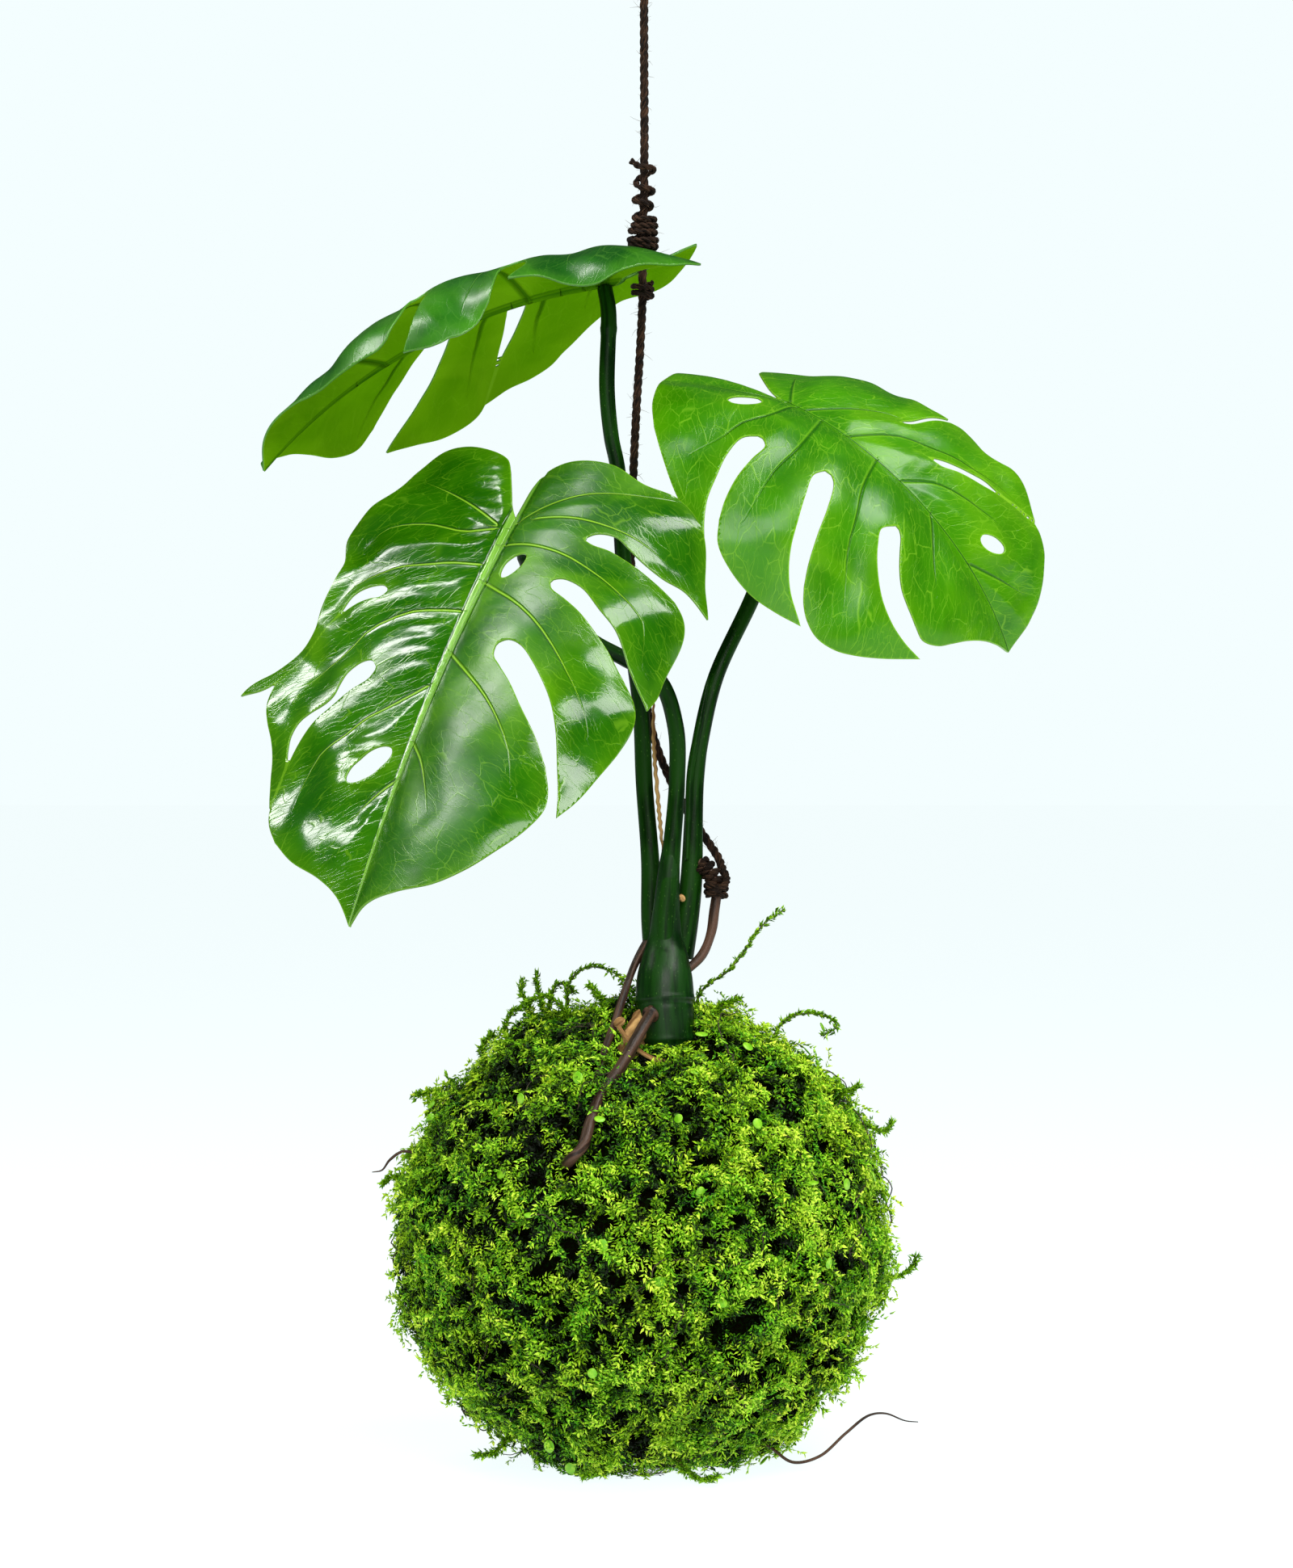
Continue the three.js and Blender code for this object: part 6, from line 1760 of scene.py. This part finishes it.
@dataclass
class Twine:
    """The jute twine, its loose end wound round it, its knots, its hanging loop and its fuzz."""

    diameter: float = 2.7
    route: tuple[Point, ...] = (
        (0.5, 11.4, 470), (0.5, 11.4, 440), (0.6, 11.4, 409), (0.3, 11.4, 385), (0, 11.4, 372),
        (0, 11.4, 361), (-0.8, 11.2, 344), (-1.8, 11, 328), (-2.6, 10.6, 312), (-3.2, 10.2, 296),
        (-3.6, 9.9, 279), (-2.4, 9.6, 262), (0, 9.2, 242), (3.5, 8.6, 224), (8.5, 8, 211), (14.5, 6.4, 200),
        (20, 3, 192), (23.5, -2, 186.5), (24.4, -5, 184), (25.3, -8.2, 181.7),
    )
    loop: tuple[Point, ...] = (
        (-1.1, 11.4, 470.3), (-2.4, 11.4, 475.4), (-8, 11.4, 481), (-8.5, 11.4, 486), (-6, 11.4, 492.4),
        (0.5, 11.4, 495), (7, 11.4, 492.4), (9.5, 11.4, 486), (9, 11.4, 481), (3.4, 11.4, 475.4),
        (2.1, 11.4, 470.3),
    )
    loose_end: Point = (-3.6, 9, 403.6)
    turns_loose: int = 3
    turns_tight: int = 6
    wrap_heights: Point = (403, 386.5, 373.4)
    wrap_radii: tuple[Flat, ...] = ((0, 2.7), (3, 2.6), (3.5, 3.2), (5, 3.8), (6.5, 4.1), (8, 3.8), (9, 3.2))
    leaf_knot: Knot = Knot((0, 11.4, 363.6), 2.9, 4.4, 2.2, 0.95)
    root_knot: Knot = Knot((22.6, -9.5, 177), 2.95, 4.4, 2.2, 1.05)
    loop_knot: Knot = Knot((0.5, 11.4, 465), 2.75, 6.4, 3.2, 0.93)
    root_head: tuple[Point, ...] = ((17.8, -7.4, 185), (21.3, -8.7, 181.5), (22.7, -9.5, 177))
    tucked: tuple[Point, ...] = (
        (24.9, -7.4, 182.4), (25.9, -9.4, 180.4), (25.0, -12.2, 178.2), (22.2, -13.0, 176.6),
        (19.6, -11.2, 175.4),
    )
    hair_radii: tuple[float, ...] = (0.075, 0.065, 0.055, 0.04, 0.02)
    longest_hair: float = 4.6

    def wrap(self, path: Array) -> Array:
        """The loose end: it winds down the twine a few times loosely, then tightly."""
        turns = self.turns_loose + self.turns_tight
        turn = np.linspace(1 / 8, turns, 400)
        height = np.interp(turn, [0, self.turns_loose, turns], self.wrap_heights)
        radius = np.interp(turn, *np.array(self.wrap_radii).T) + 0.25 * np.sin(4.3 * turn)
        order = np.argsort(path[:, 2])
        x, y = (np.interp(height, path[order, 2], path[order, k]) for k in (0, 1))
        angle = math.pi + TAU * turn + 0.35 * np.sin(3.7 * turn)
        height = height + 0.55 * np.sin(angle + 0.7) + 0.35 * np.sin(2.9 * turn)
        wound = np.stack([x + radius * np.cos(angle), y + radius * np.sin(angle), height], 1)
        return np.concatenate([smooth_path([self.loose_end, tuple(wound[0])], 12)[:-1], wound])

    def tied(self, knot: Knot) -> Surface:
        """A knot's strand, twisted of two plies."""
        return plies(knot.helix(), knot.strand, KNOT_LAY, UP)

    def root_lump(self) -> Surface:
        """The knot on the root: windings round a post, others round the root's head, and an end."""
        head = smooth_path(self.root_head, 150)
        first, second = path_frame(head, AWAY)
        turn = np.linspace(0, TAU * 4.5, len(head))[:, None]
        round_head = head + (2.0 + 0.3 * np.sin(1.7 * turn)) * (first * np.cos(turn) + second * np.sin(turn))
        return join_all([
            self.tied(self.root_knot),
            plies(round_head, 1.15, KNOT_LAY, (0.2, 0.1, 1)),
            plies(smooth_path(self.tucked, 60), 1.2, TUCKED_LAY, (0.3, 0.2, 1)),
        ])

    def fuzz(self, paths: Sequence[Array], counts: Sequence[int]) -> Surface:
        """Short curved hairs that stand off the twine, thinning to a point."""
        rng = np.random.default_rng(5)
        t = np.linspace(0, 1, len(self.hair_radii))[:, None]
        hairs = []
        for path, count in zip(paths, counts):
            for at in rng.integers(2, len(path) - 2, count):
                tangent = unit(path[at + 1] - path[at - 1])
                out = unit(np.cross(tangent, rng.normal(size=3)))
                length = min(rng.gamma(2.2, 0.8), self.longest_hair)
                foot = path[at] + out * 0.8
                bend = tangent * rng.normal(0, 0.7) + 0.5 * rng.normal(size=3)
                line = foot + out * length * t * 0.6 + bend * length * 0.5 * t**2
                hairs.append(rod(line, np.array(self.hair_radii), 3, tuple(np.cross(out, tangent) + 0.01)))
        return join_all(hairs)

    def build(self) -> None:
        jute = TwineFinish().make()
        path = smooth_path(self.route, 620)
        ring = smooth_path(self.loop, 160)
        wound = self.wrap(path)
        half = self.diameter / 2
        pieces = [
            write_piece(f"jute_{name}", surface, [jute], [node])
            for name, node, surface in (
                ("line", "twine", plies(path, half, TWINE_LAY, (0, 1, 0.1))),
                ("wrap", "twine_wrap", plies(wound, 1.08, STRAND_LAY, UP)),
                ("leaf_knot", "twine_leaf_knot", self.tied(self.leaf_knot)),
                ("root_knot", "twine_root_knot", self.root_lump()),
                ("loop", "twine_loop", plies(ring, half, TWINE_LAY, AWAY)),
                ("loop_knot", "twine_loop_knot", self.tied(self.loop_knot)),
            )
        ]
        hair = PlainFinish("jute_hair", (52, 34, 22), (120, 92, 66), 0.8).make()
        hairs = self.fuzz([path, wound, ring], [520, 130, 40])
        pieces.append(write_piece("jute_fuzz", hairs, [hair]))


# ---------------------------------------------------------------- studio


@dataclass(frozen=True)
class View:
    """The photograph's camera: level, in front of the plant, a few degrees of view."""

    x: float = 1.25
    z: float = 209.4
    distance: float = 1300.0
    pixel: float = 0.25
    sensor: float = 36.0
    farthest: float = 50.0

    def build(self) -> None:
        """Make the camera; its lens gives the frame's height at the plant's middle."""
        camera = bpy.data.cameras.new("camera")
        camera.sensor_fit = "VERTICAL"
        camera.sensor_height = self.sensor
        camera.lens = self.sensor * self.distance / (IMAGE_HEIGHT * self.pixel)
        camera.clip_end = self.farthest
        holder = place_object("camera", camera)
        holder.location = (self.x * MM, -self.distance * MM, self.z * MM)
        holder.rotation_euler = (math.pi / 2, 0, 0)
        bpy.context.scene.camera = holder


VIEW = View()


@dataclass(frozen=True)
class SoftLight:
    """A soft light that faces the leaves.

    Its direction from them is in degrees to the right of the camera and up, its distance and
    size in metres, its power in watts.
    """

    name: str
    turn: float
    climb: float
    away: float
    size: Flat
    watts: float
    colour: Colour = (1.0, 1.0, 0.97)
    target: Point = (0.0, 0.0, 0.25)

    def build(self) -> None:
        """Hang the light."""
        turn, climb = math.radians(self.turn), math.radians(self.climb)
        way = np.array([math.sin(turn) * math.cos(climb), -math.cos(turn) * math.cos(climb), math.sin(climb)])
        lamp = bpy.data.lights.new(self.name, "AREA")
        lamp.shape = "RECTANGLE"
        lamp.size, lamp.size_y = self.size
        lamp.energy, lamp.color = self.watts, self.colour
        holder = place_object(self.name, lamp)
        holder.location = np.array(self.target) + self.away * way
        holder.rotation_euler = (math.pi / 2 - climb, 0, turn)


@dataclass(frozen=True)
class Studio:
    """Plain pale floor, pale surroundings and soft lights, shown without a film curve."""

    pale: Colour = (244, 254, 255)
    fill: float = 0.05
    floor_rings: tuple[float, ...] = (0.5, 2.0, 9.0, 40.0)
    floor_sides: int = 96
    floor_shade: float = 0.16
    floor_glow: float = 0.98
    lights: tuple[SoftLight, ...] = (
        SoftLight("left", -98, 57, 1.5, (0.27, 0.78), 13.5), SoftLight("right", 66, 55, 1.5, (0.9, 0.6), 19),
        SoftLight("front", 8, 38, 2.2, (1.1, 1.1), 30), SoftLight("low", -8, 5, 2.4, (2.0, 2.0), 22),
    )

    def floor(self) -> None:
        """A large round floor at the height of the spot that the ball rests on, lit from within."""
        rows, columns = len(self.floor_rings), self.floor_sides
        angle = TAU * np.arange(columns) / columns
        rings = np.array(self.floor_rings)[:, None]
        places = np.stack([rings * np.cos(angle), rings * np.sin(angle), np.zeros((rows, columns))], -1)
        middle = end_caps(rows, columns)[0]
        faces = grid_faces(rows, columns)[:, ::-1].tolist() + middle[:, ::-1].tolist()
        mesh = bpy.data.meshes.new("floor")
        mesh.from_pydata([*places.reshape(-1, 3).tolist(), (0, 0, 0)], [], faces)
        shade = (self.floor_shade,) * 3 + (1.0,)
        finish = Recipe("floor").look(
            Base_Color=shade, Roughness=0.9, Specular_IOR_Level=0.0,
            Emission_Color=tone(self.pale), Emission_Strength=self.floor_glow,
        )
        mesh.materials.append(finish)
        floor = place_object("floor", mesh)

    def surroundings(self) -> None:
        """Pale surroundings that are seen brighter than they light the plant."""
        world = bpy.data.worlds.new("studio")
        world.use_nodes = True
        tree = world.node_tree
        back = tree.nodes["Background"]
        back.inputs[0].default_value = tone(self.pale)
        path = tree.nodes.new("ShaderNodeLightPath")
        strength = tree.nodes.new("ShaderNodeMapRange")
        strength.inputs["To Min"].default_value = self.fill
        strength.inputs["To Max"].default_value = 1.0
        tree.links.new(path.outputs["Is Camera Ray"], strength.inputs["Value"])
        tree.links.new(strength.outputs[0], back.inputs[1])
        bpy.context.scene.world = world

    def build(self) -> None:
        """Set up the floor, the surroundings and the lights."""
        bpy.context.scene.view_settings.view_transform = "Standard"
        self.floor()
        self.surroundings()
        for light in self.lights:
            light.build()


# ---------------------------------------------------------------- the whole plant


def main() -> None:
    """Build the camera, the twine and then the rest of the plant, in order."""
    logging.basicConfig(level=logging.INFO, format="%(name)s: %(message)s", force=True)
    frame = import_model()
    LOG.info("solids: %s", ", ".join(sorted(frame["nodes"])))
    VIEW.build()
    Twine().build()
    Studio().build()
    leaves = [leaf_a(), leaf_b(), leaf_c()]
    for piece in (*leaves, *petioles(leaves), StemBase(), Roots(), MossBall()):
        piece.build()
    soil = frame["nodes"]["soil_core"]
    soil.data.materials.clear()
    soil.data.materials.append(SoilFinish().make())
    bpy.context.view_layer.update()


if __name__ == "__main__":
    main()
